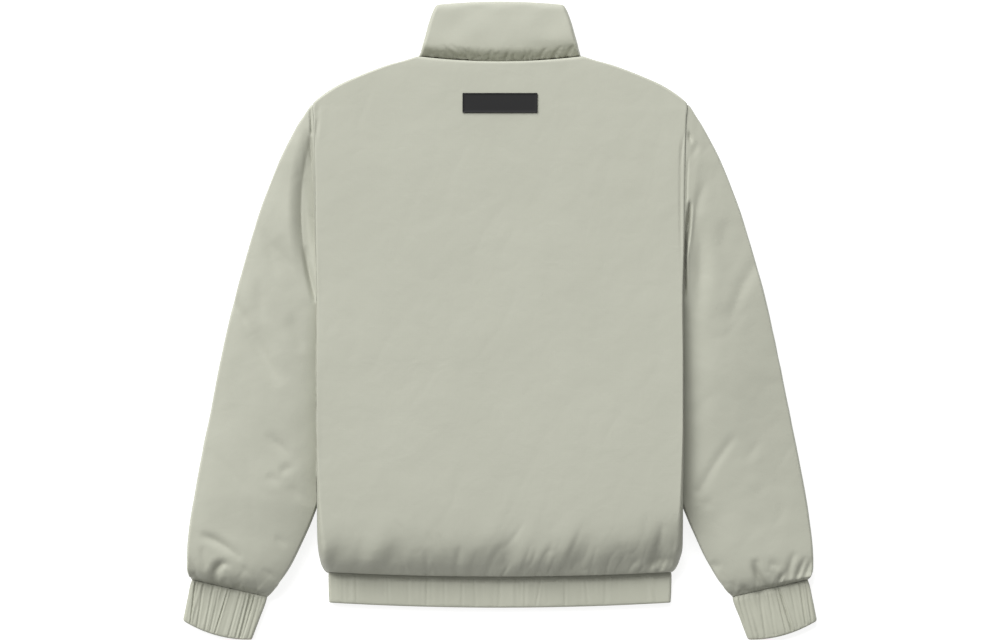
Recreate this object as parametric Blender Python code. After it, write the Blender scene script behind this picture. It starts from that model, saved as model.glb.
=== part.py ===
"""A zip-front puffer jacket, lying flat on its front with its back up, at real size.

The jacket is the usual short blouson: a padded back, two padded fronts, padded set-in sleeves, a padded
stand collar, gathered elastic bands at the hem and the cuffs, a centre front zip with a pull tab, and a
plain rubber patch below the collar. The cloth is not quilted, so each padded piece is one plump wall.

Metres, +Z up. The floor is z = 0, +Y points to the collar, and the origin is the middle of the jacket's
outline on the floor. The tables measure the jacket as it lies: "out" is the distance from the centre
back line, "down" the distance below the back neck seam, and "high" the height above the floor.
"""

from collections import namedtuple
from math import asin, atan2, cos, exp, hypot, pi, radians, sin

import bmesh
import bpy
import numpy as np
from mathutils import Matrix, Vector

# ---------------------------------------------------------------------------------------------------
# Driving dimensions
# ---------------------------------------------------------------------------------------------------

MIDDLE = 0.3324         # how far the middle of the whole outline lies below the back neck seam
SEAM_GAP = 0.0003       # between two pieces where they are sewn together
LAYER_GAP = 0.0006      # between two layers that lie on each other
SLEEVE_GAP = 0.0010     # between a sleeve and the side of the body that it lies against

SIDE_UNDER = 0.95       # how far the fronts tuck in below the side seam, as a share of its height
EDGE_DROP = 0.007       # how much lower the back is where its rounded edge starts than at its middle
EDGE_SHARE = 0.35       # the most that this takes of its height above the side seam
SIDE_SEAM = 0.036       # height of the side seam over most of its length
PARTING_DIP = 0.003     # how much lower the back and the fronts meet at the middle than there
SEAM_LIP = 0.0015       # width of the flat strip where two panels are sewn

BAND_SEAM = 0.013       # height of the padded pieces where they are sewn to the hem band and the cuffs
GATHER_RISE = 0.008     # how far above that height their gathers are at full depth

ZIP_EDGE = 0.0093       # out to the edge of each front, beside the zip
TEETH_HALF = 0.0028
TEETH_THICK = 0.0024
TAPE_THICK = 0.0008

# ---------------------------------------------------------------------------------------------------
# The body, one row for each level from the neck seam to the hem seam
#   down, half: place of the row's ends       sag: how much lower its middle is
#   top: height of the back at the middle     seam: height of the side seam
#   edge: width of the rounded edge           steps: mesh rows up to the next row
# ---------------------------------------------------------------------------------------------------

BodyRow = namedtuple("BodyRow", "down half sag top seam edge steps")
BODY = (
    BodyRow(-0.0067, 0.1062, 0.0067, 0.032, 0.017, 0.030, 1),
    BodyRow(-0.0015, 0.1216, 0.0077, 0.042, 0.020, 0.045, 1),
    BodyRow(0.0036, 0.1400, 0.0090, 0.048, 0.023, 0.058, 1),
    BodyRow(0.0095, 0.1570, 0.0108, 0.052, 0.025, 0.066, 1),
    BodyRow(0.0200, 0.1835, 0.0095, 0.056, 0.028, 0.066, 1),
    BodyRow(0.0305, 0.2067, 0.0080, 0.059, 0.030, 0.058, 1),
    BodyRow(0.0410, 0.2235, 0.0060, 0.061, 0.032, 0.044, 1),
    BodyRow(0.0500, 0.2350, 0.0042, 0.062, 0.034, 0.032, 1),
    BodyRow(0.0580, 0.2400, 0.0025, 0.063, 0.035, 0.026, 1),
    BodyRow(0.0750, 0.2387, 0.0000, 0.063, 0.036, 0.024, 2),
    BodyRow(0.1330, 0.2375, 0.0000, 0.064, 0.036, 0.024, 4),
    BodyRow(0.3057, 0.2355, 0.0000, 0.064, 0.036, 0.024, 4),
    BodyRow(0.4850, 0.2355, 0.0000, 0.063, 0.036, 0.025, 2),
    BodyRow(0.5500, 0.2355, 0.0000, 0.061, 0.035, 0.027, 2),
    BodyRow(0.5870, 0.2355, 0.0010, 0.057, 0.032, 0.029, 2),
    BodyRow(0.6130, 0.2349, 0.0024, 0.050, 0.028, 0.030, 1),
    BodyRow(0.6260, 0.2338, 0.0034, 0.044, 0.024, 0.030, 1),
    BodyRow(0.6370, 0.2315, 0.0044, 0.037, 0.020, 0.027, 1),
    BodyRow(0.6460, 0.2282, 0.0052, 0.029, 0.015, 0.023, 1),
    BodyRow(0.6520, 0.2245, 0.0056, 0.021, 0.010, 0.018, 1),
    BodyRow(0.6551, 0.2208, 0.0058, 0.013, 0.0065, 0.012, 0),
)

# ---------------------------------------------------------------------------------------------------
# A sleeve, one row for each section from the armhole to the cuff seam. A section crosses the sleeve from
# its outer edge, the one away from the body, to its inner edge, which lies under the side of the body.
# ---------------------------------------------------------------------------------------------------

SleeveRow = namedtuple("SleeveRow", "outer_out outer_down inner_out inner_down high steps")
SLEEVE = (
    SleeveRow(0.2406, 0.0586, 0.2342, 0.3030, 0.045, 1),
    SleeveRow(0.2650, 0.0932, 0.2317, 0.3287, 0.051, 2),
    SleeveRow(0.2893, 0.1431, 0.2291, 0.3633, 0.054, 2),
    SleeveRow(0.3110, 0.2007, 0.2266, 0.4029, 0.055, 2),
    SleeveRow(0.3290, 0.2609, 0.2266, 0.4413, 0.055, 2),
    SleeveRow(0.3443, 0.3197, 0.2291, 0.4797, 0.054, 2),
    SleeveRow(0.3584, 0.3825, 0.2330, 0.5181, 0.053, 2),
    SleeveRow(0.3725, 0.4529, 0.2381, 0.5553, 0.052, 2),
    SleeveRow(0.3856, 0.5207, 0.2419, 0.5873, 0.050, 2),
    SleeveRow(0.3955, 0.5770, 0.2509, 0.6103, 0.048, 1),
    SleeveRow(0.4006, 0.6231, 0.2662, 0.6423, 0.044, 2),
    SleeveRow(0.4019, 0.6487, 0.2803, 0.6653, 0.034, 1),
    SleeveRow(0.3995, 0.6600, 0.2915, 0.6800, 0.022, 1),
    SleeveRow(0.3960, 0.6645, 0.2982, 0.6867, 0.013, 0),
)
SLEEVE_INNER_LOW = 0.27     # height of the inner edge's widest point, as a share of the sleeve's height
SLEEVE_OUTER_LOW = 0.46     # the same at the outer edge
SLEEVE_SHOULDER = 0.95      # height where its rounded edges end, as a share of its height
SLEEVE_ROUND = 0.58         # how far the rounded edges reach in, as a share of the sleeve's height
SLEEVE_MOST_ROUND = 0.42    # the most that they reach in, as a share of its width

# ---------------------------------------------------------------------------------------------------
# The bands: one row for each level from the seam to the free edge
#   down: place of the level's ends      half: half its width     bow: how much lower its middle is
#   top, low: heights of its outer faces
# ---------------------------------------------------------------------------------------------------

BandRow = namedtuple("BandRow", "down half bow top low")
COLLAR = (
    BandRow(-0.0070, 0.1045, 0.0067, 0.0315, 0.0020),
    BandRow(-0.0105, 0.1022, 0.0062, 0.0365, 0.0032),
    BandRow(-0.0170, 0.1006, 0.0052, 0.0400, 0.0055),
    BandRow(-0.0280, 0.0972, 0.0034, 0.0420, 0.0080),
    BandRow(-0.0430, 0.0935, 0.0012, 0.0425, 0.0084),
    BandRow(-0.0570, 0.0890, -0.0012, 0.0405, 0.0084),
    BandRow(-0.0665, 0.0850, -0.0030, 0.0370, 0.0088),
    BandRow(-0.0712, 0.0812, -0.0038, 0.0320, 0.0110),
    BandRow(-0.0725, 0.0790, -0.0040, 0.0265, 0.0145),
)
COLLAR_SLOT = 0.0192        # height of the fold's inside, where the back of the collar lies on its front
COLLAR_WALL = 0.0150        # the padded wall at its side folds

HEM_BAND = (
    BandRow(0.6554, 0.2200, 0.0058, 0.0120, 0.0000),
    BandRow(0.6600, 0.2204, 0.0059, 0.0134, 0.0000),
    BandRow(0.6740, 0.2202, 0.0061, 0.0136, 0.0000),
    BandRow(0.6880, 0.2196, 0.0063, 0.0130, 0.0000),
    BandRow(0.6936, 0.2189, 0.0064, 0.0104, 0.0020),
)
CUFF = (
    BandRow(0.0003, 0.0496, 0.0000, 0.0122, 0.0000),
    BandRow(0.0070, 0.0500, 0.0006, 0.0136, 0.0000),
    BandRow(0.0260, 0.0484, 0.0026, 0.0136, 0.0000),
    BandRow(0.0475, 0.0464, 0.0054, 0.0130, 0.0000),
    BandRow(0.0560, 0.0452, 0.0064, 0.0104, 0.0020),
)
BAND_SLOT = 0.0062          # height of the inside of the hem band and the cuffs
BAND_WALL = 0.0060          # their wall, two layers of cloth over the elastic
CUFF_LEAN = 0.061           # how far a cuff leans outwards, a metre down
CUFF_SKEW = 0.040           # how much shorter its outer side is than its middle, as a share

# ---------------------------------------------------------------------------------------------------
# Folds and gathers. "x" is positive to the wearer's right, which is the viewer's right from behind.
#   Fold: a trough along a line on the upper side, from one end to the other, with its depth and width
#   Gather: a trough that runs up from the hem seam, leaning sideways
#   CuffGather: place across the cuff, from its outer edge at 0 to its inner edge at 1, and its depth
# ---------------------------------------------------------------------------------------------------

Fold = namedtuple("Fold", "x0 down0 x1 down1 depth width")
FOLDS = (
    Fold(-0.2480, 0.0850, -0.2610, 0.1700, 0.0050, 0.0090),     # beside the left armhole seam
    Fold(-0.2610, 0.1700, -0.2480, 0.2850, 0.0050, 0.0090),
    Fold(-0.3020, 0.2150, -0.2580, 0.2870, 0.0045, 0.0200),     # left elbow
    Fold(-0.3400, 0.3150, -0.2760, 0.4150, 0.0050, 0.0130),
    Fold(-0.2900, 0.4960, -0.2660, 0.5280, 0.0030, 0.0090),
    Fold(-0.3810, 0.6090, -0.3400, 0.6290, 0.0045, 0.0090),     # above the left cuff
    Fold(0.2420, 0.0960, 0.2450, 0.1560, 0.0030, 0.0070),       # beside the right armhole seam
    Fold(0.2440, 0.1980, 0.2570, 0.3100, 0.0055, 0.0100),
    Fold(0.3270, 0.2640, 0.2920, 0.3420, 0.0050, 0.0130),       # right elbow
    Fold(0.3020, 0.4860, 0.2590, 0.5490, 0.0040, 0.0120),
    Fold(0.2860, 0.5600, 0.3120, 0.6100, 0.0030, 0.0110),
)

Gather = namedtuple("Gather", "x lean depth reach")
HEM_GATHERS = (
    Gather(-0.206, -0.10, 0.0030, 0.030),
    Gather(-0.181, 0.05, 0.0022, 0.024),
    Gather(-0.146, 0.08, 0.0030, 0.034),
    Gather(-0.118, -0.10, 0.0024, 0.026),
    Gather(-0.084, 0.22, 0.0038, 0.046),
    Gather(-0.060, 0.10, 0.0026, 0.032),
    Gather(-0.033, 0.26, 0.0040, 0.050),
    Gather(0.000, -0.05, 0.0022, 0.024),
    Gather(0.030, 0.20, 0.0036, 0.040),
    Gather(0.060, 0.24, 0.0040, 0.044),
    Gather(0.092, 0.10, 0.0024, 0.028),
    Gather(0.118, 0.30, 0.0028, 0.036),
    Gather(0.150, 0.36, 0.0042, 0.048),
    Gather(0.184, 0.42, 0.0045, 0.056),
    Gather(0.208, 0.30, 0.0034, 0.034),
)
GATHER_WIDTH = 0.0072

CuffGather = namedtuple("CuffGather", "across depth")
CUFF_GATHERS = {
    -1: tuple(CuffGather(a, d) for a, d in (
        (0.10, 0.0048), (0.25, 0.0028), (0.35, 0.0018), (0.45, 0.0050), (0.57, 0.0024),
        (0.68, 0.0030), (0.80, 0.0046), (0.91, 0.0026))),
    1: tuple(CuffGather(a, d) for a, d in (
        (0.06, 0.0030), (0.15, 0.0024), (0.27, 0.0042), (0.38, 0.0024), (0.50, 0.0028),
        (0.63, 0.0050), (0.78, 0.0026), (0.93, 0.0040))),
}
CUFF_GATHER_WIDTH = 0.032   # as a share of the width
CUFF_GATHER_REACH = 0.030   # how far the gathers run up the sleeve

HEM_RIB = 0.0130            # spacing of the ribs that the elastic pulls into the hem band
HEM_RIB_DEPTH = 0.0009
CUFF_RIBS = 12              # ribs on each face of a cuff
CUFF_RIB_DEPTH = 0.0011


# ---------------------------------------------------------------------------------------------------
# Shared geometry
# ---------------------------------------------------------------------------------------------------

def place(x, down, high):
    """A point of the tables in the jacket's frame."""
    return Vector((x, MIDDLE - down, high))


def monotone(knots):
    """A smooth curve through knots at 0, 1, 2..., which doesn't overshoot them, as a function."""
    knots = np.asarray(knots, float)
    rises = np.diff(knots)
    slopes = np.zeros(len(knots))
    slopes[0], slopes[-1] = rises[0], rises[-1]
    before, after = rises[:-1], rises[1:]
    same_way = before * after > 0
    slopes[1:-1][same_way] = 2 * before[same_way] * after[same_way] / (before + after)[same_way]

    def at(place_on_curve):
        i = min(int(place_on_curve), len(knots) - 2)
        t = place_on_curve - i
        return (knots[i] * (1 + 2 * t) * (1 - t) ** 2 + slopes[i] * t * (1 - t) ** 2
                + knots[i + 1] * t * t * (3 - 2 * t) - slopes[i + 1] * t * t * (1 - t))

    return at


def filled_in(table):
    """The rows of a table with the smooth rows that its steps put between them."""
    row_type = type(table[0])
    curves = [monotone(column) for column in zip(*table)]
    places = [i + k / row.steps for i, row in enumerate(table) for k in range(row.steps)]
    places.append(len(table) - 1)
    return [row_type(*(curve(p) for curve in curves)) for p in places]


def new_mesh(name, bm):
    mesh = bpy.data.meshes.new(name)
    bm.to_mesh(mesh)
    bm.free()
    mesh.shade_smooth()
    mesh.set_sharp_from_angle(angle=radians(40))
    return mesh


def loft(name, rings, joined=False):
    """A closed skin over rings of points: capped at both ends, or with its last ring joined to its first."""
    bm = bmesh.new()
    loops = [[bm.verts.new(point) for point in ring] for ring in rings]
    pairs = list(zip(loops, loops[1:]))
    if joined:
        pairs.append((loops[-1], loops[0]))
    for ring, after in pairs:
        for i in range(len(ring)):
            j = (i + 1) % len(ring)
            bm.faces.new((ring[i], ring[j], after[j], after[i]))
    if not joined:
        bm.faces.new(reversed(loops[0]))
        bm.faces.new(loops[-1])
    bmesh.ops.recalc_face_normals(bm, faces=bm.faces)
    bmesh.ops.triangulate(bm, faces=bm.faces)
    return new_mesh(name, bm)


def quarter(steps):
    """Angles from 0 to 90 degrees, both ends included."""
    return [pi / 2 * k / steps for k in range(steps + 1)]


def spread(first, last, count):
    """Evenly spaced numbers, both ends included."""
    return [first + (last - first) * k / (count - 1) for k in range(count)]


def bump(distance, width):
    return exp(-(distance / width) ** 2)


# ---------------------------------------------------------------------------------------------------
# The body's surfaces
# ---------------------------------------------------------------------------------------------------

BODY_ROWS = filled_in(BODY)


def fold_depth(x, down):
    """How far the folds lower the upper side at a place."""
    total = 0.0
    for fold in FOLDS:
        along = Vector((fold.x1 - fold.x0, fold.down1 - fold.down0))
        share = (Vector((x - fold.x0, down - fold.down0)) @ along) / along.length_squared
        near = min(1.0, max(0.0, share))
        away = hypot(x - fold.x0 - near * along.x, down - fold.down0 - near * along.y)
        total += fold.depth * bump(away, fold.width)
    return total


def hem_gather_depth(x, down, seam_down):
    """How far the gathers above the hem band lower the back at a place."""
    up = max(0.0, seam_down - down)
    return sum(
        gather.depth * bump(x - gather.x - gather.lean * up, GATHER_WIDTH + 0.12 * up)
        * bump(up, gather.reach)
        for gather in HEM_GATHERS
    )


def gather_share(high):
    """How much of its depth a gather has where a padded piece is this high."""
    return min(1.0, (high - BAND_SEAM) / GATHER_RISE)


def edge_height(top, seam):
    """Height of the back where its rounded edge ends."""
    return top - min(EDGE_DROP, EDGE_SHARE * (top - seam))


def back_height(row, x):
    """Height of the back's upper side on a row, before folds."""
    flat = row.half - row.edge
    if abs(x) <= flat:
        return row.top - (row.top - edge_height(row.top, row.seam)) * (abs(x) / flat) ** 4
    inward = min(1.0, (row.half - abs(x)) / row.edge)
    return row.seam + (edge_height(row.top, row.seam) - row.seam) * (1 - (1 - inward) ** 2) ** 0.5


def row_down(row, x):
    return row.down + row.sag * (1 - (x / row.half) ** 2)


def body_row(x, down):
    """The body's row that passes through a place."""
    downs = [row_down(row, min(abs(x), row.half)) for row in BODY_ROWS]
    columns = list(zip(*BODY_ROWS))
    share = np.interp(down, downs, range(len(downs)))
    return BodyRow(*(float(np.interp(share, range(len(downs)), column)) for column in columns))


def body_side(down, high):
    """How far out the side of the body lies at a height."""
    downs = [row.down for row in BODY_ROWS]
    half, seam, top, edge = (
        float(np.interp(down, downs, [getattr(row, name) for row in BODY_ROWS]))
        for name in ("half", "seam", "top", "edge")
    )
    if high <= seam:
        rise = min(1.0, (seam - high) / seam)
        return half - SIDE_UNDER * seam * (1 - (1 - rise * rise) ** 0.5)
    rise = min(1.0, (high - seam) / (edge_height(top, seam) - seam))
    return half - edge * (1 - (1 - rise * rise) ** 0.5)


def parting(row, x):
    """Height at which the back lies on the fronts."""
    dip = PARTING_DIP * row.seam / SIDE_SEAM
    return row.seam - dip * (1 - (x / row.half) ** 2)


# ---------------------------------------------------------------------------------------------------
# Back and fronts
# ---------------------------------------------------------------------------------------------------

BACK_ACROSS = 42        # points across the flat of the back
EDGE_STEPS = 4          # and round each of its edges
UNDER_POINTS = 9        # and along its inside


def back_panel():
    """The back: plump, rounded at its edges, and rolled down to the hem seam with its gathers."""
    seam_down = BODY[-1].down
    rings = []
    for row in BODY_ROWS:
        flat = row.half - row.edge
        edge = [row.half - row.edge * (1 - cos(a)) for a in quarter(EDGE_STEPS)]
        across = [-x for x in edge[:-1]] + spread(-flat, flat, BACK_ACROSS) + edge[-2::-1]
        ring = []
        for x in across:
            down = row_down(row, x)
            high = back_height(row, x) + SEAM_GAP / 2
            drop = hem_gather_depth(x, down, seam_down + row.sag) * gather_share(row.top)
            if abs(x) < row.half:
                high -= drop + fold_depth(x, down)
            ring.append(place(x, down, high))
        for x in spread(row.half - SEAM_LIP, -row.half + SEAM_LIP, UNDER_POINTS):
            ring.append(place(x, row_down(row, x), parting(row, x) + LAYER_GAP / 2))
        rings.append(ring)
    return loft("back_panel", rings)


def front_panel(name, side):
    """One front, from the side seam to the zip: flat where it lies on the floor."""
    rings = []
    for row in BODY_ROWS:
        under = SIDE_UNDER * row.seam
        lip = row.half - SEAM_LIP
        edge_high = min(0.008, 0.4 * row.seam)
        ring = [(ZIP_EDGE, edge_high), (ZIP_EDGE + 0.3 * edge_high, 0.3 * edge_high)]
        ring += [(x, 0.0) for x in spread(ZIP_EDGE + edge_high, row.half - under, 4)]
        ring += [
            (row.half - under * (1 - sin(a)), (row.seam - SEAM_GAP / 2) * (1 - cos(a)))
            for a in quarter(EDGE_STEPS)[1:]
        ]
        ring += [(x, parting(row, x) - LAYER_GAP / 2) for x in spread(lip, ZIP_EDGE, 5)]
        rings.append([place(side * x, row_down(row, x), high) for x, high in ring])
    return loft(name, rings)


# ---------------------------------------------------------------------------------------------------
# Sleeves
# ---------------------------------------------------------------------------------------------------

SLEEVE_ROWS = filled_in(SLEEVE)
SLEEVE_ACROSS = 19      # points across the upper side of a sleeve
SLEEVE_EDGE_STEPS = 6   # steps round its upper inner edge, which lies against the body
SLEEVE_END_STEPS = 4    # rows on the end that is sewn to the body, which follows the body's side
SLEEVE_TUCK = 0.0035        # height below which a sleeve tucks no further under the body
SLEEVE_WALL = 0.030         # padded wall at a sleeve's edges
SLEEVE_WALL_SHARE = 0.30    # the most that it takes of the sleeve's width
SLEEVE_INNER_STEPS = 5      # every so many sections, the inside of the sleeve has one too


def sleeve_point(side, row, across, high, first=False):
    """A point of a sleeve's section: across runs from its inner edge at 0 to its outer edge at 1."""
    out = row.inner_out + (row.outer_out - row.inner_out) * across
    down = row.inner_down + (row.outer_down - row.inner_down) * across
    beside = body_side(down, max(high, SLEEVE_TUCK))
    if first:
        out = beside + SLEEVE_GAP
    elif down < BODY[-1].down:
        out = max(out, beside + SLEEVE_GAP)
    return place(side * out, down, high)


def sleeve_section(row, width):
    """Shares across and heights all round a sleeve, from its inner edge over the top."""
    reach = min(SLEEVE_MOST_ROUND, SLEEVE_ROUND * row.high / width)
    low_in, low_out = SLEEVE_INNER_LOW * row.high, SLEEVE_OUTER_LOW * row.high
    shoulder = SLEEVE_SHOULDER * row.high
    section = [
        (reach * (1 - cos(a)), low_in + (shoulder - low_in) * sin(a)) for a in quarter(SLEEVE_EDGE_STEPS)
    ]
    for share in spread(reach, 1 - reach, SLEEVE_ACROSS)[1:-1]:
        middle = (share - 0.5) / (0.5 - reach)
        section.append((share, row.high - (row.high - shoulder) * middle ** 2))
    section += [
        (1 - reach * (1 - sin(a)), low_out + (shoulder - low_out) * cos(a)) for a in quarter(4)
    ]
    section += [(1 - reach * (1 - cos(a)), low_out * (1 - sin(a))) for a in quarter(3)[1:]]
    section += [(share, 0.0) for share in spread(1 - reach, reach, 5)[1:]]
    section += [(reach * (1 - sin(a)), low_in * (1 - cos(a))) for a in quarter(3)[1:-1]]
    return section


def sleeve(name, side):
    """One sleeve: a padded tube, pressed flat, with its gathers above the cuff."""
    end_down = SLEEVE[-1].outer_down
    outer, inner = [], []
    for index, row in enumerate(SLEEVE_ROWS):
        width = hypot(row.outer_out - row.inner_out, row.outer_down - row.inner_down)
        to_cuff = max(0.0, end_down - row.outer_down)
        line = []
        for across, high in sleeve_section(row, width):
            on_top = min(1.0, max(0.0, (high - 0.5 * row.high) / (0.3 * row.high)))
            spot = sleeve_point(side, row, across, high, index == 0)
            gathers = sum(
                gather.depth * bump(1 - across - gather.across, CUFF_GATHER_WIDTH)
                for gather in CUFF_GATHERS[side]
            )
            drop = gathers * bump(to_cuff, CUFF_GATHER_REACH) * gather_share(row.high)
            if index:
                drop += fold_depth(spot.x, MIDDLE - spot.y)
            spot.z -= drop * on_top
            line.append(spot)
        outer.append(line)
        slot_half = 0.5 - min(SLEEVE_WALL_SHARE, SLEEVE_WALL / width)
        turned = [2 * pi * k / len(line) for k in range(len(line))]
        inner.append([
            sleeve_point(side, row, 0.5 - slot_half * cos(turn),
                         SLEEVE_OUTER_LOW * row.high + LAYER_GAP * sin(turn), index == 0)
            for turn in turned
        ])
    last = len(inner) - 1
    kept = [*range(0, last - 4, SLEEVE_INNER_STEPS), last - 3, last - 1, last]
    rings = []
    for i, start in enumerate(outer[0]):
        end = inner[0][i]
        ring = [line[i] for line in outer] + [inner[k][i] for k in reversed(kept)]
        for k in range(1, SLEEVE_END_STEPS):
            spot = end.lerp(start, k / SLEEVE_END_STEPS)
            beside = body_side(MIDDLE - spot.y, max(spot.z, SLEEVE_TUCK))
            spot.x = side * (beside + SLEEVE_GAP)
            ring.append(spot)
        rings.append(ring)
    return loft(name, rings, joined=True)


# ---------------------------------------------------------------------------------------------------
# Bands: the collar, the hem band and the cuffs are each a wall that goes round, pressed flat
# ---------------------------------------------------------------------------------------------------

Turn = namedtuple("Turn", "face side share")
# face: 1 on the upper side, where share runs from -1 to 1 across it; 0 on a side fold, where share is the
# angle down from the upper side; -1 on the underside, where share runs from the opening at 0 to the fold


def turns(upper, folds, under):
    """Places round a band: along its underside, round a fold, over its upper side and back."""
    fold = [pi * (k + 1) / (folds + 1) for k in range(folds)]
    path = [Turn(-1, -1, share) for share in spread(0.0, 1.0, under)]
    path += [Turn(0, -1, angle) for angle in reversed(fold)]
    path += [Turn(1, 1, share) for share in spread(-1.0, 1.0, upper)]
    path += [Turn(0, 1, angle) for angle in fold]
    path += [Turn(-1, 1, share) for share in spread(1.0, 0.0, under)]
    return path


def band_spot(turn, half, top, low, opening):
    """Place across a band and height of a point on it, with how far it faces up from there."""
    radius = (top - low) / 2
    middle = (top + low) / 2
    flat = half - radius
    if turn.face > 0:
        return turn.share * flat, top, 1.0
    if turn.face < 0:
        return turn.side * (opening + turn.share * (flat - opening)), low, -1.0
    return turn.side * (flat + radius * sin(turn.share)), middle + radius * cos(turn.share), cos(turn.share)


def band(name, rows, path, slot_high, wall, rib, to_frame, opening=0.0):
    """A flattened band. rib gives how far the wall stands in at a place; to_frame puts it in place."""
    rings = []
    for turn in path:
        ring = []
        for row in rows:
            across, high, facing_up = band_spot(turn, row.half, row.top, row.low, opening)
            down = row.down + row.bow * (1 - (across / row.half) ** 2)
            ring.append(to_frame(across, down, high - rib(across, row) * max(0.0, facing_up)))
        for row in (rows[-1], rows[len(rows) // 2], rows[0]):
            across, high, _ = band_spot(turn, row.half - wall, slot_high + LAYER_GAP,
                                        slot_high - LAYER_GAP, opening)
            down = row.down + row.bow * (1 - (across / row.half) ** 2)
            ring.append(to_frame(across, down, high))
        rings.append(ring)
    if opening:
        return loft(name, rings)
    return loft(name, rings[:-1], joined=True)


def collar():
    """The stand collar, from one side of the zip round the neck to the other."""
    return band("collar", COLLAR, turns(21, 4, 5), COLLAR_SLOT, COLLAR_WALL,
                lambda across, row: 0.0, place, ZIP_EDGE)


def hem_band():
    """The elastic hem band, ribbed by its gathers."""
    def rib(across, row):
        inside = 0.0 if row in (HEM_BAND[0], HEM_BAND[-1]) else 1.0
        uneven = across + 0.004 * sin(2 * pi * across / 0.083)
        return HEM_RIB_DEPTH * inside * (0.5 - 0.5 * cos(2 * pi * uneven / HEM_RIB))

    return band("hem_band", HEM_BAND, turns(87, 3, 4), BAND_SLOT, BAND_WALL, rib, place, ZIP_EDGE)


def cuff(name, side):
    """One elastic cuff, a closed band, ribbed by its gathers."""
    def rib(across, row):
        inside = 0.0 if row in (CUFF[0], CUFF[-1]) else 1.0
        share = across / row.half
        uneven = share + 0.05 * sin(2.3 * pi * share + side)
        return CUFF_RIB_DEPTH * inside * (0.5 - 0.5 * cos(pi * CUFF_RIBS * uneven))

    end = SLEEVE[-1]
    turn = atan2(end.inner_down - end.outer_down, end.outer_out - end.inner_out)
    middle_out = (end.outer_out + end.inner_out) / 2
    middle_down = (end.outer_down + end.inner_down) / 2

    def to_frame(across, down, high):
        across += CUFF_LEAN * down
        down *= 1 - CUFF_SKEW * across / CUFF[0].half
        out = middle_out + across * cos(turn) + down * sin(turn)
        return place(side * out, middle_down - across * sin(turn) + down * cos(turn), high)

    return band(name, CUFF, turns(39, 3, 4), BAND_SLOT, BAND_WALL, rib, to_frame)


# ---------------------------------------------------------------------------------------------------
# Rubber patch below the collar
# ---------------------------------------------------------------------------------------------------

PATCH_HALF = 0.0480
PATCH_TOP, PATCH_END = 0.0410, 0.0664
PATCH_LIFT = 0.0007
PATCH_THICK = 0.0016
PATCH_CORNER = 0.0012


def label_patch():
    """The bare rubber patch, made from the back's own points and moved out."""
    downs = [PATCH_TOP] + spread(PATCH_TOP + PATCH_CORNER, PATCH_END - PATCH_CORNER, 7) + [PATCH_END]
    rings = []
    for down in downs:
        corner = PATCH_CORNER if down in (PATCH_TOP, PATCH_END) else 0.0
        across = spread(-PATCH_HALF + corner, PATCH_HALF - corner, 7)
        under = [place(x, down, back_height(body_row(x, down), x) + PATCH_LIFT) for x in across]
        over = [spot + Vector((0, 0, PATCH_THICK)) for spot in reversed(under)]
        rings.append(under + over)
    return loft("label_patch", rings)


# ---------------------------------------------------------------------------------------------------
# Zip: two tapes, the chain of teeth, the bottom box, and the slider with its pull tab
# ---------------------------------------------------------------------------------------------------

ZipRow = namedtuple("ZipRow", "down high")
ZIP_LINE = (            # the chain's middle: through the hem band, up between the fronts, and the collar
    ZipRow(0.6930, 0.0036),
    ZipRow(0.6600, 0.0036),
    ZipRow(0.6480, 0.0048),
    ZipRow(0.6200, 0.0085),
    ZipRow(0.3300, 0.0105),
    ZipRow(0.0200, 0.0095),
    ZipRow(-0.0130, 0.0115),
    ZipRow(-0.0300, 0.0135),
    ZipRow(-0.0705, 0.0135),
)
BOX_LENGTH = 0.008
SLIDER_DOWN = -0.0600       # middle of the slider, with the zip closed
SLIDER_LONG, SLIDER_WIDE, SLIDER_DEEP = 0.0110, 0.0086, 0.0060
PLATE_THICK = 0.0012
POST_LONG, POST_WIDE = 0.0034, 0.0032
LUG_THICK, LUG_OUT = 0.0010, 0.0027
PIN_RADIUS = 0.00075
EYE_RADIUS, EYE_HOLE = 0.0016, 0.00095
PIN_DROP = 0.0020           # from the slider's outer plate down to the pin
PULL_LONG, PULL_WIDE, PULL_THICK = 0.0260, 0.0068, 0.0014
PULL_HOLE = 0.0018


def zip_high(down):
    rows = sorted(ZIP_LINE)
    return float(np.interp(down, [row.down for row in rows], [row.high for row in rows]))


PIN_HIGH = ZIP_LINE[-1].high - SLIDER_DEEP / 2 - PIN_DROP
PIN_SPOT = place(0.0, SLIDER_DOWN, PIN_HIGH)
# The tab hangs from its pin until its end lies on the floor.
PULL_TILT = asin((PIN_HIGH - PULL_THICK / 2 - SEAM_GAP) / PULL_LONG)


def strip(name, near, far, thick, first, last, taper=0.0):
    """A flat strip along the zip, between two distances out, from one place down the zip to another."""
    downs = [first] + [row.down for row in ZIP_LINE if first > row.down > last] + [last]
    rings = []
    for down in downs:
        high = zip_high(down)
        rings.append([
            place(near + taper, down, high - thick / 2), place(far - taper, down, high - thick / 2),
            place(far, down, high), place(far - taper, down, high + thick / 2),
            place(near + taper, down, high + thick / 2), place(near, down, high),
        ])
    return loft(name, rings)


def block(size, centre, bevel=0.0):
    """A box with rounded edges, as a bmesh."""
    bm = bmesh.new()
    bmesh.ops.create_cube(bm, size=1.0)
    bmesh.ops.scale(bm, vec=size, verts=bm.verts)
    if bevel:
        bmesh.ops.bevel(bm, geom=bm.edges[:], offset=bevel, segments=2, affect="EDGES", profile=0.5)
    bmesh.ops.translate(bm, vec=centre, verts=bm.verts)
    return bm


def rod(radius, length, centre, sides=20):
    """A round rod along X, as a bmesh."""
    bm = bmesh.new()
    bmesh.ops.create_cone(bm, cap_ends=True, segments=sides, radius1=radius, radius2=radius,
                          depth=length, matrix=Matrix.Rotation(pi / 2, 4, "Y"))
    bmesh.ops.translate(bm, vec=centre, verts=bm.verts)
    return bm


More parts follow.
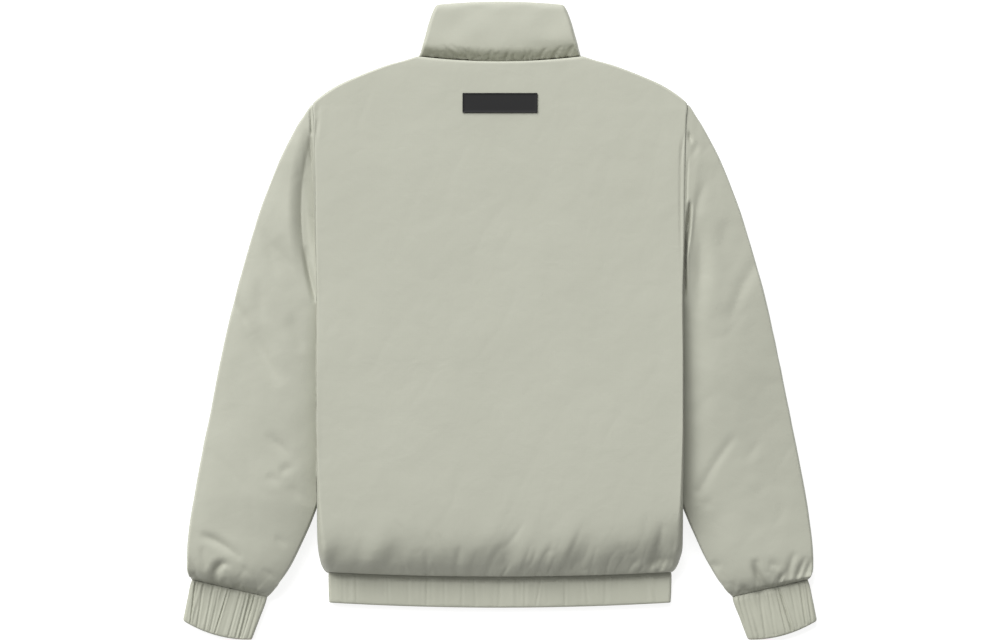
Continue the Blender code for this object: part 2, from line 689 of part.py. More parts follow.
def guide(name, bm):
    """A shape that only joins or cuts another one."""
    made = bpy.data.objects.new(name, new_mesh(name, bm))
    guides.objects.link(made)
    made.hide_render = True
    made.display_type = "WIRE"
    return made


def combine(target, operation, *others):
    for other in others:
        step = target.modifiers.new(operation.lower() + "_" + other.name, "BOOLEAN")
        step.operation = operation
        step.object = other


def zip_slider():
    """The slider: two plates on a post, with two lugs and the pin that carries the pull."""
    middle = place(0.0, SLIDER_DOWN, ZIP_LINE[-1].high)
    plate = (SLIDER_WIDE, SLIDER_LONG, PLATE_THICK)
    lift = Vector((0, 0, (SLIDER_DEEP - PLATE_THICK) / 2))
    post_spot = middle + Vector((0, (SLIDER_LONG - POST_LONG) / 2 - 0.0004, 0))
    slider = piece("zip_slider", new_mesh("zip_slider", block(plate, middle - lift, 0.0004)), METAL)
    lug_high = PIN_DROP + PIN_RADIUS + 0.0004
    lug = (LUG_THICK, 0.0032, lug_high + PLATE_THICK / 2)
    lug_z = middle.z - SLIDER_DEEP / 2 - lug_high + lug[2] / 2
    joined = [
        guide("slider_inner_plate", block(plate, middle + lift, 0.0004)),
        guide("slider_post", block((POST_WIDE, POST_LONG, SLIDER_DEEP - PLATE_THICK), post_spot)),
        guide("slider_lug_left", block(lug, (-LUG_OUT, middle.y, lug_z), 0.0003)),
        guide("slider_lug_right", block(lug, (LUG_OUT, middle.y, lug_z), 0.0003)),
        guide("slider_pin", rod(PIN_RADIUS, 2 * LUG_OUT, PIN_SPOT)),
    ]
    combine(slider, "UNION", *joined)
    return slider


def zip_pull():
    """The pull tab, with its eye on the pin. Its origin is on the pin's axis."""
    eye_wide = 2 * LUG_OUT - LUG_THICK - 0.0006
    pull = piece("zip_pull", new_mesh("zip_pull", rod(EYE_RADIUS, eye_wide, (0, 0, 0), 24)), METAL)
    neck_long = 0.0060
    tab_long = PULL_LONG - neck_long + 0.0010
    tab_y = -PULL_LONG + tab_long / 2
    neck = guide("pull_neck", block((eye_wide, neck_long, PULL_THICK), (0, -neck_long / 2, 0)))
    tab = guide("pull_tab", block((PULL_WIDE, tab_long, PULL_THICK), (0, tab_y, 0), 0.0004))
    hole = guide("pull_eye", rod(EYE_HOLE, 0.02, (0, 0, 0), 24))
    combine(pull, "UNION", neck, tab)
    combine(pull, "DIFFERENCE", hole)
    hinge = bpy.data.objects.new("pull_hinge", None)
    jacket.objects.link(hinge)
    hinge.location = PIN_SPOT
    hinge.rotation_euler = (PULL_TILT, 0, 0)
    for part in (pull, neck, tab, hole):
        part.parent = hinge
    return pull


# ---------------------------------------------------------------------------------------------------
# Scene
# ---------------------------------------------------------------------------------------------------

Finish = namedtuple("Finish", "name colour roughness metallic")
SHELL_CLOTH = Finish("sage shell cloth", (0.494, 0.507, 0.418), 0.62, 0.0)
BAND_CLOTH = Finish("sage band cloth", (0.440, 0.450, 0.372), 0.66, 0.0)
TAPE_CLOTH = Finish("sage zip tape", (0.420, 0.430, 0.350), 0.80, 0.0)
MOULDED = Finish("sage moulded teeth", (0.400, 0.412, 0.330), 0.40, 0.0)
METAL = Finish("dark plated metal", (0.080, 0.080, 0.082), 0.35, 1.0)
RUBBER = Finish("black rubber", (0.034, 0.034, 0.037), 0.55, 0.0)


def material(finish):
    found = bpy.data.materials.get(finish.name)
    if found:
        return found
    made = bpy.data.materials.new(finish.name)
    made.use_nodes = True
    shader = made.node_tree.nodes["Principled BSDF"]
    shader.inputs["Base Color"].default_value = (*finish.colour, 1.0)
    shader.inputs["Roughness"].default_value = finish.roughness
    shader.inputs["Metallic"].default_value = finish.metallic
    made.diffuse_color = (*finish.colour, 1.0)
    return made


def piece(name, mesh, finish):
    made = bpy.data.objects.new(name, mesh)
    mesh.materials.append(material(finish))
    jacket.objects.link(made)
    return made


for old in list(bpy.data.objects):
    bpy.data.objects.remove(old)
jacket = bpy.data.collections.new("puffer_jacket")
guides = bpy.data.collections.new("guides")
for group in (jacket, guides):
    bpy.context.scene.collection.children.link(group)

piece("back_panel", back_panel(), SHELL_CLOTH)
piece("collar", collar(), SHELL_CLOTH)
piece("hem_band", hem_band(), BAND_CLOTH)
piece("label_patch", label_patch(), RUBBER)
for side, word in ((-1, "left"), (1, "right")):
    piece("front_" + word, front_panel("front_" + word, side), SHELL_CLOTH)
    piece("sleeve_" + word, sleeve("sleeve_" + word, side), SHELL_CLOTH)
    piece("cuff_" + word, cuff("cuff_" + word, side), BAND_CLOTH)
    near, far = sorted((side * (TEETH_HALF + SEAM_GAP), side * (ZIP_EDGE - SEAM_GAP)))
    tape = strip("zip_tape_" + word, near, far, TAPE_THICK, ZIP_LINE[0].down, ZIP_LINE[-1].down)
    piece("zip_tape_" + word, tape, TAPE_CLOTH)

chain_end = SLIDER_DOWN - SLIDER_LONG / 2 + POST_LONG + 0.0008
box_end = ZIP_LINE[0].down - BOX_LENGTH
piece("zip_teeth", strip("zip_teeth", -TEETH_HALF, TEETH_HALF, TEETH_THICK, box_end - SEAM_GAP,
                         chain_end, 0.0006), MOULDED)
piece("zip_box", strip("zip_box", -TEETH_HALF, TEETH_HALF, 0.0032, ZIP_LINE[0].down, box_end,
                       0.0006), METAL)
zip_slider()
zip_pull()
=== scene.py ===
"""A zip-front puffer jacket laid flat on its front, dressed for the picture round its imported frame.

Metres, +Z up, with the floor at z = 0 and +Y towards the collar. The tables measure the jacket as it lies:
"out" is the distance from the centre back line, "down" the distance below the back neck seam, and "high"
the height above the floor. Creases are in millimetres, each drawn where the real cloth folds.
"""

from collections import namedtuple
from math import hypot, pi, radians

import bmesh
import bpy
import numpy as np
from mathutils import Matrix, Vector
from mathutils.bvhtree import BVHTree


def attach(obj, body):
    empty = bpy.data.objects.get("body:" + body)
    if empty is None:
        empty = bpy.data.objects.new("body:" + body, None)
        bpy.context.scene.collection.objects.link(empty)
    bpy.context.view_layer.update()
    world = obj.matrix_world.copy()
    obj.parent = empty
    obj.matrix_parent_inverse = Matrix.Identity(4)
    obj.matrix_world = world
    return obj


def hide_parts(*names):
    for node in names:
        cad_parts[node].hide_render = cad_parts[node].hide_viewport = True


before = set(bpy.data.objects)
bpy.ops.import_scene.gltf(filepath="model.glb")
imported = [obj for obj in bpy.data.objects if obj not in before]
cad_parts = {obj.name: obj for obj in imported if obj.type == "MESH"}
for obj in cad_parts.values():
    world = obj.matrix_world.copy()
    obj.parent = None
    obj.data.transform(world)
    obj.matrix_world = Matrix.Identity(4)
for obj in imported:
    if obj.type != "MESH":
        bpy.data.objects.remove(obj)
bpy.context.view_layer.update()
scene = bpy.context.scene

# ---------------------------------------------------------------------------------------------------
# Back. One panel of plain-woven polyester over polyester wadding, sewn to the sleeves, the fronts, the
# collar and the hem band. It isn't quilted, so it is one smooth plump wall. At the hem it is gathered
# into the shorter elastic band, which rolls it over the seam and pulls soft folds up into it.
# ---------------------------------------------------------------------------------------------------

MIDDLE = 0.3324         # how far the middle of the whole outline lies below the back neck seam
SEAM_GAP = 0.0003       # between two pieces where they are sewn together
LAYER_GAP = 0.0006      # between two layers that lie on each other
COARSE = 4              # the hidden inside of a piece has one cell for so many outside, each way

EDGE_DROP = 0.0008      # how much lower the back's sides would be than its middle, if they weren't rounded
EDGE_SHARE = 0.30       # the most that this takes of its height above the side seam
EDGE_POWER = 2.8        # shape of the rounded edges: 2 is an ellipse, and more is fuller
CROWN_POWER = 3         # shape of the fall from the middle: 2 is even, and more keeps it to the sides
SIDE_SEAM = 0.036       # height of the side seam over most of its length
PARTING_DIP = 0.003     # how much lower the back and the fronts meet at the middle than there
SEAM_LIP = 0.0015       # how far in from its sides a panel's hidden inside starts
BAND_SEAM = 0.013       # height of the padded pieces at the hem and cuff seams
GATHER_RISE = 0.008     # how far above that their gathers are at full depth

# down, half: place of a row's ends         sag: how much lower its middle is
# top: height of the back at the middle     seam: height of the side seam
# edge: width of the rounded edge           cell: length of a mesh cell up to the next row
BodyRow = namedtuple("BodyRow", "down half sag top seam edge cell")
BODY = [BodyRow(*row) for row in (
    (-0.0067, 0.1062, 0.0067, 0.02700, 0.0160, 0.004, 0.0009),
    (-0.0066, 0.1065, 0.0067, 0.04500, 0.0175, 0.005, 0.0008),
    (-0.0064, 0.1070, 0.0067, 0.05600, 0.0190, 0.005, 0.0008),
    (-0.0060, 0.1082, 0.0068, 0.06160, 0.0215, 0.006, 0.0008),
    (-0.0051, 0.1109, 0.0070, 0.06300, 0.0245, 0.006, 0.0010),
    (-0.0034, 0.1160, 0.0073, 0.06342, 0.0270, 0.006, 0.0013),
    (-0.0006, 0.1250, 0.0079, 0.06355, 0.0300, 0.006, 0.0018),
    (0.0036, 0.1410, 0.0090, 0.06368, 0.0340, 0.006, 0.0024),
    (0.0095, 0.1579, 0.0108, 0.06378, 0.0380, 0.006, 0.0026),
    (0.0200, 0.1842, 0.0095, 0.06386, 0.0440, 0.006, 0.0026),
    (0.0305, 0.2071, 0.0080, 0.06392, 0.0500, 0.006, 0.0026),
    (0.0410, 0.2237, 0.0060, 0.06396, 0.0550, 0.006, 0.0023),
    (0.0500, 0.2350, 0.0042, 0.06399, 0.0590, 0.005, 0.0016),
    (0.0545, 0.2392, 0.0031, 0.06401, 0.0610, 0.005, 0.0016),
    (0.0600, 0.2394, 0.0018, 0.06402, 0.0618, 0.003, 0.0022),
    (0.0750, 0.2381, 0.0000, 0.06405, 0.0622, 0.003, 0.0029),
    (0.1330, 0.2366, 0.0000, 0.06409, 0.0624, 0.003, 0.0036),
    (0.2300, 0.2356, 0.0000, 0.06410, 0.0612, 0.003, 0.0036),
    (0.3057, 0.2348, 0.0000, 0.06410, 0.0550, 0.003, 0.0038),
    (0.3800, 0.2351, 0.0000, 0.06400, 0.0480, 0.002, 0.0038),
    (0.4700, 0.2351, 0.0000, 0.06350, 0.0450, 0.002, 0.0034),
    (0.5200, 0.2351, 0.0000, 0.06290, 0.0430, 0.004, 0.0028),
    (0.5500, 0.2346, 0.0000, 0.06230, 0.0405, 0.005, 0.0024),
    (0.5750, 0.2346, 0.0007, 0.06140, 0.0375, 0.007, 0.0021),
    (0.5900, 0.2346, 0.0011, 0.06060, 0.0352, 0.009, 0.0017),
    (0.6030, 0.2345, 0.0018, 0.05930, 0.0322, 0.011, 0.0014),
    (0.6150, 0.2341, 0.0026, 0.05680, 0.0290, 0.013, 0.0013),
    (0.6260, 0.2332, 0.0034, 0.05240, 0.0250, 0.014, 0.0012),
    (0.6340, 0.2318, 0.0041, 0.04750, 0.0215, 0.015, 0.0012),
    (0.6400, 0.2302, 0.0047, 0.04260, 0.0183, 0.014, 0.0011),
    (0.6450, 0.2284, 0.0051, 0.03740, 0.0152, 0.013, 0.0011),
    (0.6490, 0.2264, 0.0054, 0.03290, 0.0123, 0.012, 0.0010),
    (0.6520, 0.2244, 0.0056, 0.02940, 0.0098, 0.011, 0.0009),
    (0.6540, 0.2225, 0.0057, 0.02640, 0.0080, 0.010, 0.0009),
    (0.6551, 0.2208, 0.0058, 0.01400, 0.0065, 0.009, 0.0012),
)]
BACK_ACROSS = 249       # points across the flat of the back
BACK_EDGE = 20          # cells round each of its edges

# A crease is a trough along a curve through a start, a middle and an end. "first" and "last" are the
# shares of its depth that it has at its ends, and "wide" is half its width.
SWELL = 0.06            # height of the swell on each side of a crease, as a share of its depth
SWELL_OUT, SWELL_WIDE = 2.0, 0.9    # how far out it is and half its width, in half widths of the crease
CREASE_REACH = 4        # how far out a crease is worked out, in the same
CREASE_PARTS = 12       # straight parts that its curve is measured in
Crease = namedtuple("Crease", "x0 down0 x1 down1 x2 down2 deep wide first last")
BACK_CREASES = [Crease(*row) for row in (
    # gathers above the hem band, from the left
    (-217.6, 656.4, -212.5, 647.4, -207.4, 638.5, 1.6, 3.0, 1.0, 0.0),
    (-189.4, 658.9, -184.3, 650.0, -176.6, 638.5, 2.0, 3.4, 1.0, 0.0),
    (-156.2, 660.2, -156.2, 646.1, -161.3, 625.7, 2.6, 5.0, 1.0, 0.0),
    (-137.0, 661.5, -133.1, 651.3, -131.8, 641.0, 1.6, 3.0, 1.0, 0.0),
    (-121.6, 661.5, -122.9, 646.1, -129.3, 626.9, 2.4, 4.2, 1.0, 0.0),
    (-110.1, 661.5, -112.6, 651.3, -116.5, 642.3, 2.0, 3.0, 1.0, 0.0),
    (-93.4, 662.8, -93.4, 643.6, -96.0, 624.4, 4.6, 4.2, 1.0, 0.1),
    (-76.8, 662.8, -80.6, 651.3, -84.5, 639.7, 1.6, 2.8, 1.0, 0.0),
    (-56.3, 662.8, -55.0, 641.0, -49.9, 619.3, 5.0, 4.4, 1.0, 0.1),
    (-38.4, 662.8, -34.6, 646.1, -28.2, 624.4, 2.4, 4.6, 1.0, 0.0),
    (-17.9, 662.8, -11.5, 642.3, 5.1, 616.7, 4.4, 4.6, 1.0, 0.1),
    (1.3, 662.8, 7.7, 651.3, 14.1, 641.0, 3.2, 2.6, 1.0, 0.0),
    (19.2, 662.8, 26.9, 652.5, 38.4, 641.0, 3.4, 3.0, 1.0, 0.1),
    (42.2, 662.8, 56.3, 642.3, 66.6, 614.1, 4.4, 4.6, 1.0, 0.1),
    (55.0, 662.8, 61.4, 653.8, 69.1, 646.1, 2.6, 2.4, 1.0, 0.0),
    (71.7, 661.5, 87.0, 637.2, 105.0, 594.9, 4.2, 3.8, 1.0, 0.1),
    (83.2, 661.5, 90.9, 651.3, 98.6, 642.3, 2.4, 2.4, 1.0, 0.0),
    (112.6, 660.2, 117.8, 647.4, 121.6, 632.1, 1.8, 3.6, 1.0, 0.0),
    (137.0, 660.2, 138.2, 646.1, 140.8, 628.2, 3.0, 4.4, 1.0, 0.0),
    (154.9, 658.9, 157.4, 638.5, 152.3, 614.1, 3.4, 5.2, 1.0, 0.0),
    (161.3, 658.9, 169.0, 646.1, 179.2, 635.9, 3.8, 2.8, 1.0, 0.1),
    (172.8, 658.9, 183.0, 648.7, 193.3, 638.5, 3.6, 2.6, 1.0, 0.1),
    (185.6, 657.7, 199.7, 629.5, 207.4, 594.9, 6.0, 3.8, 1.0, 0.2),
    (202.2, 656.4, 207.4, 646.1, 216.3, 633.3, 3.0, 2.6, 1.0, 0.0),
    (215.0, 655.1, 221.4, 628.2, 226.6, 594.9, 5.0, 4.2, 1.0, 0.1),
    # soft folds higher up
    (188.2, 619.3, 185.6, 600.1, 189.4, 577.0, 2.2, 6.0, 0.3, 0.0),
    (-135.7, 587.3, -125.4, 598.8, -115.2, 620.5, 1.2, 3.0, 0.0, 0.2),
    (-93.4, 600.1, -87.0, 612.9, -76.8, 628.2, 1.2, 3.2, 0.0, 0.3),
    (-79.4, 603.9, -70.4, 619.3, -61.4, 641.0, 1.4, 3.4, 0.0, 0.4),
    (30.7, 587.3, 17.9, 609.0, 3.8, 624.4, 1.6, 3.4, 0.0, 0.4),
    # beside the armhole seams
    (-231.7, 54.8, -233.0, 65.0, -231.7, 74.0, 2.0, 2.6, 0.0, 0.0),
    (-233.0, 72.7, -235.1, 86.8, -236.4, 104.7, 6.0, 2.2, 0.2, 0.3),
    (236.6, 93.0, 233.4, 111.1, 231.2, 140.7, 4.0, 1.8, 0.4, 0.0),
    (232.6, 97.0, 231.0, 180.0, 233.8, 292.0, 3.6, 1.5, 0.0, 0.0),
)]
CREASED = 0.34          # how deep the back's creases are, as a share of the depths above
# fine wrinkles between the gathers: their depth where the cloth is calm, how much deeper they are where
# it is busy, their size, seed, stretch and slant, and how far up they reach
HEM_WRINKLES = (
    (0.0004, 0.0010, 0.0115, 11, 3.2, -0.42, 0.030),
    (0.0003, 0.0006, 0.0062, 16, 2.6, -0.30, 0.014),
)
BACK_LUMPS = ((0.0004, 0.070, 12), (0.0001, 0.022, 13))     # depth, size and seed of the wadding's lumps
BACK_CRUMPLE = 0.00012      # depth of the soft crumpling all over
SMOOTH_WIDE, SMOOTH_DOWN, SMOOTH_TALL = 0.062, 0.054, 0.022     # the smooth place under the patch
ROLL_OVER = 0.0003      # how far the rolled hem stands out over its seam
ROLL_HIGH, ROLL_TALL = 0.023, 0.010     # height at which it does so most, and half the height of that roll
ROLL_WANDER = 0.006     # how far the start of the roll wanders up and down
ROLL_FROM, ROLL_TO = 0.560, 0.600       # down to where it starts to do so, and to where it does so fully
ROLL_LATE, ROLL_EARLY = -0.0055, 0.0125     # how far it moves down near the left end, and up near the right


def place(x, down, high):
    """Points of the tables in the frame."""
    return np.stack(np.broadcast_arrays(x, MIDDLE - down, high), axis=-1)


def smooth_through(places, knots, at):
    """Values at places on a smooth curve through knots, which doesn't overshoot them."""
    knots = np.asarray(knots, float)
    gaps = np.diff(places)
    rates = np.diff(knots) / gaps
    before, after = rates[:-1], rates[1:]
    slopes = np.concatenate((rates[:1], np.zeros(len(knots) - 2), rates[-1:]))
    same_way = before * after > 0
    near, far = (2 * gaps[1:] + gaps[:-1])[same_way], (gaps[1:] + 2 * gaps[:-1])[same_way]
    slopes[1:-1][same_way] = (near + far) / (near / before[same_way] + far / after[same_way])
    i = np.clip(np.searchsorted(places, at, side="right") - 1, 0, len(gaps) - 1)
    t = (at - places[i]) / gaps[i]
    return (knots[i] * (1 + 2 * t) * (1 - t) ** 2 + gaps[i] * slopes[i] * t * (1 - t) ** 2
            + knots[i + 1] * t * t * (3 - 2 * t) - gaps[i] * slopes[i + 1] * t * t * (1 - t))


def filled_in(table, step):
    """A table with smooth rows in between, each column as an array that is one point wide.

    step gives the distance between two rows of the table. The rows made are a row's cell apart up to the
    next row, and the number of steps between them is a multiple of COARSE."""
    steps = [step(a, b) for a, b in zip(table, table[1:])]
    cells = [max(1, round(size / row.cell)) for size, row in zip(steps, table)]
    cells[int(np.argmax(cells))] += -sum(cells) % COARSE
    places = np.concatenate(([0.0], np.cumsum(steps)))
    at = np.concatenate([np.linspace(a, b, n, endpoint=False) for a, b, n in zip(places, places[1:], cells)]
                        + [places[-1:]])
    return type(table[0])(*(smooth_through(places, column, at)[:, None] for column in zip(*table)))


def thinned(rows):
    """Every COARSE-th of some rows or points, for the inside of a piece."""
    return type(rows)(*(column[::COARSE] for column in rows))


def ease(x, start=0.0, end=1.0):
    """0 before the start, 1 after the end, and smooth between."""
    x = np.clip((x - start) / (end - start), 0.0, 1.0)
    return x * x * (3 - 2 * x)


def bump(distance, width):
    """1 at no distance, and 0.37 a width away."""
    return np.exp(-(distance / width) ** 2)


def unevenness(x, y, size, seed, stretch=1.0, turn=0.0):
    """Soft random heights from -1 to 1, in lumps of this size that can be longer one way."""
    heights = np.random.default_rng(seed).uniform(-1, 1, (256, 256))
    along = (x * np.cos(turn) + y * np.sin(turn)) / size + 128
    across = (y * np.cos(turn) - x * np.sin(turn)) / (size * stretch) + 128
    i, j = np.floor(along).astype(int), np.floor(across).astype(int)
    u, v = ease(along - i), ease(across - j)
    corner = [[heights[(i + a) % 256, (j + b) % 256] for b in (0, 1)] for a in (0, 1)]
    return ((corner[0][0] * (1 - u) + corner[1][0] * u) * (1 - v)
            + (corner[0][1] * (1 - u) + corner[1][1] * u) * v)


def wrinkled(x, y, size, seed, stretch, turn=0.0):
    """Fine valleys, from 0 to 1, that wander and meet as they do in crumpled cloth."""
    x = x + 0.4 * size * unevenness(x, y, 2.3 * size, seed + 500)
    return bump(unevenness(x, y, size, seed, stretch, turn), 0.24)


def creases(x, down, table):
    """How deep the creases of a table are at places, in metres, with a low swell beside each."""
    x, down = (1000 * side for side in np.broadcast_arrays(x, down))
    total = np.zeros(x.shape)
    for crease in table:
        s = np.linspace(0, 1, CREASE_PARTS + 1)
        ends, middle = (1 - s) * (1 - 2 * s), 4 * s * (1 - s)
        path_x = ends * crease.x0 + middle * crease.x1 + s * (2 * s - 1) * crease.x2
        path_down = ends * crease.down0 + middle * crease.down1 + s * (2 * s - 1) * crease.down2
        reach = CREASE_REACH * crease.wide
        near = ((x > path_x.min() - reach) & (x < path_x.max() + reach)
                & (down > path_down.min() - reach) & (down < path_down.max() + reach))
        spot_x, spot_down = x[near], down[near]
        nearest = np.full(spot_x.shape, 1e9)
        share = np.zeros(spot_x.shape)
        for k in range(CREASE_PARTS):
            along_x, along_down = path_x[k + 1] - path_x[k], path_down[k + 1] - path_down[k]
            off_x, off_down = spot_x - path_x[k], spot_down - path_down[k]
            part = (off_x * along_x + off_down * along_down) / (along_x ** 2 + along_down ** 2)
            part = np.clip(part, 0, 1)
            away = np.hypot(off_x - part * along_x, off_down - part * along_down)
            closer = away < nearest
            nearest = np.where(closer, away, nearest)
            share = np.where(closer, (k + part) / CREASE_PARTS, share)
        rise = crease.first + (1 - crease.first) * np.sin(np.minimum(1, 2 * share) * pi / 2)
        fall = crease.last + (1 - crease.last) * np.sin(np.minimum(1, 2 - 2 * share) * pi / 2)
        away = nearest / crease.wide
        trough = np.exp(-away ** 1.8) - SWELL * bump(away - SWELL_OUT, SWELL_WIDE)
        total[near] += crease.deep * rise * fall * trough
    return total / 1000


def written(bm, mesh, sharp=180):
    """A mesh of what bm holds, faces out, and smooth but at edges that turn by this many degrees."""
    bmesh.ops.recalc_face_normals(bm, faces=bm.faces)
    bmesh.ops.triangulate(bm, faces=[face for face in bm.faces if len(face.verts) > 4])
    bm.to_mesh(mesh)
    bm.free()
    mesh.shade_smooth()
    mesh.set_sharp_from_angle(angle=radians(sharp))
    return mesh


def shell_mesh(name, outside, inside, wrapped=False):
    """One closed mesh over two grids of points, the inner one with a COARSE cell for each group outside."""
    number = np.arange(outside[..., 0].size).reshape(outside.shape[:2])
    within = number.size + np.arange(inside[..., 0].size).reshape(inside.shape[:2])
    if wrapped:
        number, within = (np.concatenate((grid, grid[:, :1]), axis=1) for grid in (number, within))
    faces = []
    for grid in (number, within):
        corners = (grid[:-1, :-1], grid[:-1, 1:], grid[1:, 1:], grid[1:, :-1])
        faces += np.stack([corner.ravel() for corner in corners], axis=1).tolist()
    borders = [(number[0], within[0]), (number[-1], within[-1])]
    if not wrapped:
        borders += [(number[:, 0], within[:, 0]), (number[:, -1], within[:, -1])]
    half = COARSE // 2
    for fine, coarse in borders:
        fine, coarse = fine.tolist(), coarse.tolist()
        for k in range(len(coarse) - 1):
            group = fine[COARSE * k:COARSE * (k + 1) + 1]
            faces += [(a, b, coarse[k]) for a, b in zip(group[:half], group[1:half + 1])]
            faces.append((group[half], coarse[k + 1], coarse[k]))
            faces += [(a, b, coarse[k + 1]) for a, b in zip(group[half:-1], group[half + 1:])]
    mesh = bpy.data.meshes.new(name)
    points = np.concatenate((outside.reshape(-1, 3), inside.reshape(-1, 3)))
    mesh.from_pydata(points.tolist(), [], faces)
    bm = bmesh.new()
    bm.from_mesh(mesh)
    return written(bm, mesh, sharp=75)


def colour(code):
    """A shader's colour from an sRGB hex code."""
    parts = (int(code[i:i + 2], 16) / 255 for i in (0, 2, 4))
    return (*(p / 12.92 if p <= 0.04045 else ((p + 0.055) / 1.055) ** 2.4 for p in parts), 1.0)


def add(finish, kind, inputs=None, **settings):
    """Adds a node to a material. inputs holds values, or the outputs that link to them."""
    made = finish.node_tree.nodes.new("ShaderNode" + kind)
    for name, value in settings.items():
        setattr(made, name, value)
    for name, value in (inputs or {}).items():
        if isinstance(value, bpy.types.NodeSocket):
            finish.node_tree.links.new(value, made.inputs[name])
        else:
            made.inputs[name].default_value = value
    return made


def surface(name, **values):
    """A new material with these values set on its shader."""
    finish = bpy.data.materials.new(name)
    finish.use_nodes = True
    for key, value in values.items():
        finish.node_tree.nodes["Principled BSDF"].inputs[key.replace("_", " ")].default_value = value
    return finish


def wire(finish, **outputs):
    """Links outputs of nodes to a material's shader."""
    shader = finish.node_tree.nodes["Principled BSDF"]
    for key, output in outputs.items():
        finish.node_tree.links.new(output, shader.inputs[key.replace("_", " ")])


THREAD = 0.0022         # drawn this far apart, so that they just show; the real threads are 0.2 mm apart
WAVE_LENGTH = 0.314     # what one wave of a wave texture measures at a scale of 1


def shell_cloth(name, light, dark, grain=0.0):
    """Woven polyester shell: fine plain weave, calendered on its inside, so it is smooth with a faint
    satin sheen. grain is the angle of its warp. Soft crumples from wear catch the light unevenly."""
    finish = surface(name, Roughness=0.60, Sheen_Weight=0.06, Sheen_Roughness=0.42)
    spot = add(finish, "TexCoord").outputs["Object"]
    lie = add(finish, "Mapping", {"Vector": spot, "Rotation": (0, 0, grain)}).outputs["Vector"]
    threads = [
        add(finish, "TexWave", {"Vector": lie, "Scale": WAVE_LENGTH / THREAD, "Distortion": 0.8,
                                "Detail": 1.0, "Detail Scale": 0.6}, bands_direction=way).outputs["Fac"]
        for way in ("X", "Y")
    ]
    weave = add(finish, "Math", {0: threads[0], 1: threads[1]}, operation="MULTIPLY")
    crumple = add(finish, "TexNoise", {"Vector": lie, "Scale": 42.0, "Detail": 4.0, "Roughness": 0.52,
                                       "Distortion": 0.35})
    soft = add(finish, "Bump", {"Strength": 1.0, "Distance": 0.0005, "Height": crumple.outputs["Fac"]})
    fine = add(finish, "Bump", {"Strength": 0.10, "Distance": 0.0002, "Height": weave.outputs["Value"],
                                "Normal": soft.outputs["Normal"]})
    dye = add(finish, "TexNoise", {"Vector": spot, "Scale": 11.0, "Detail": 3.0})
    tint = add(finish, "MapRange", {"Value": dye.outputs["Fac"], "From Min": 0.3, "From Max": 0.7})
    shade = add(finish, "Mix", {0: tint.outputs["Result"], 6: colour(dark), 7: colour(light)},
                data_type="RGBA")
    wire(finish, Base_Color=shade.outputs[2], Normal=fine.outputs["Normal"])
    return finish


def piece(mesh, finish, slot, *nodes):
    """Adds a piece in its place, riding on the jacket and standing for its CAD nodes."""
    made = bpy.data.objects.new(mesh.name, mesh)
    mesh.materials.append(finish)
    scene.collection.objects.link(made)
    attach(made, "jacket")
    if nodes:
        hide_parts(*nodes)
    return made


body = filled_in(BODY, lambda a, b: hypot(b.down + b.sag - a.down - a.sag, b.top - a.top))


def quarter(cells):
    """Angles from 0 to 90 degrees, both ends included."""
    return np.linspace(0, pi / 2, cells + 1)


def row_down(row, x):
    return row.down + row.sag * (1 - (x / row.half) ** 2)


def brow(row):
    """Height that the back would have at its sides if they weren't rounded."""
    return row.top - np.minimum(EDGE_DROP, EDGE_SHARE * (row.top - row.seam))


def back_form(row, x):
    """Height of the back's smooth form."""
    crown = row.top - (row.top - brow(row)) * np.abs(x / row.half) ** CROWN_POWER
    inward = np.clip((row.half - np.abs(x)) / row.edge, 0, 1)
    return row.seam + (crown - row.seam) * np.sqrt(1 - (1 - inward) ** EDGE_POWER)


def back_relief(row, x):
    """How far creases, gathers and the lie of the wadding lower the back."""
    down = row_down(row, x)
    up = body.down[-1] + row.sag - down
    inward = np.minimum((row.half - np.abs(x)) / 0.008, (down + 0.004) / 0.012)
    gathered = np.clip((row.top - BAND_SEAM) / GATHER_RISE, 0, 1)
    busy = ease(0.55 + 0.9 * x / row.half + 0.5 * unevenness(x, up, 0.05, 15))
    drop = CREASED * creases(x, down, BACK_CREASES)
    for calm, busier, size, seed, stretch, slant, reach in HEM_WRINKLES:
        drop = drop + (calm + busier * busy) * wrinkled(x, up, size, seed, stretch, slant) * bump(up, reach)
    rough = 1 - bump(x, SMOOTH_WIDE) * bump(down - SMOOTH_DOWN, SMOOTH_TALL)
    lumps = sum(deep * unevenness(x, down, size, seed) for deep, size, seed in BACK_LUMPS)
    lumps = lumps + BACK_CRUMPLE * wrinkled(x, down, 0.034, 17, 2.0, 0.5)
    return drop * gathered * ease(inward * 1.5) + lumps * ease(inward) * ease(up, 0, 0.03) * rough


flat = body.half - body.edge
round_edge = body.half - body.edge * (1 - np.cos(quarter(BACK_EDGE)))
middle = flat * np.linspace(-1, 1, BACK_ACROSS)
x = np.concatenate((-round_edge[:, :-1], middle, round_edge[:, -2::-1]), axis=1)
down = row_down(body, x)
wander = ROLL_WANDER * unevenness(x - 0.3 * (0.655 - down), down, 0.024, 14, stretch=2.2)
wander += ROLL_LATE * ease(-x, 0.070, 0.200) + ROLL_EARLY * ease(x, 0.182, 0.208)
wander *= ease(down, ROLL_FROM, ROLL_TO) * ease(BODY[-1].down - body.down, 0, 0.02)
moved = body._replace(top=np.interp(body.down + wander, body.down[:, 0], body.top[:, 0]))
relief = back_relief(body, x)
high = back_form(moved, x) - relief + SEAM_GAP / 2
rolled = ROLL_OVER * bump(high - ROLL_HIGH, ROLL_TALL) * ease(down, 0.615, 0.640)
rolled *= (1 - (x / body.half) ** 8) * ease(high, 0.0128, 0.0168) * np.clip(1 - relief / 0.015, 0.6, 1.1)
outside = place(x, down + rolled, high)

inside_rows = thinned(body)
inside_x = x[::COARSE, ::COARSE] * (1 - SEAM_LIP / inside_rows.half)


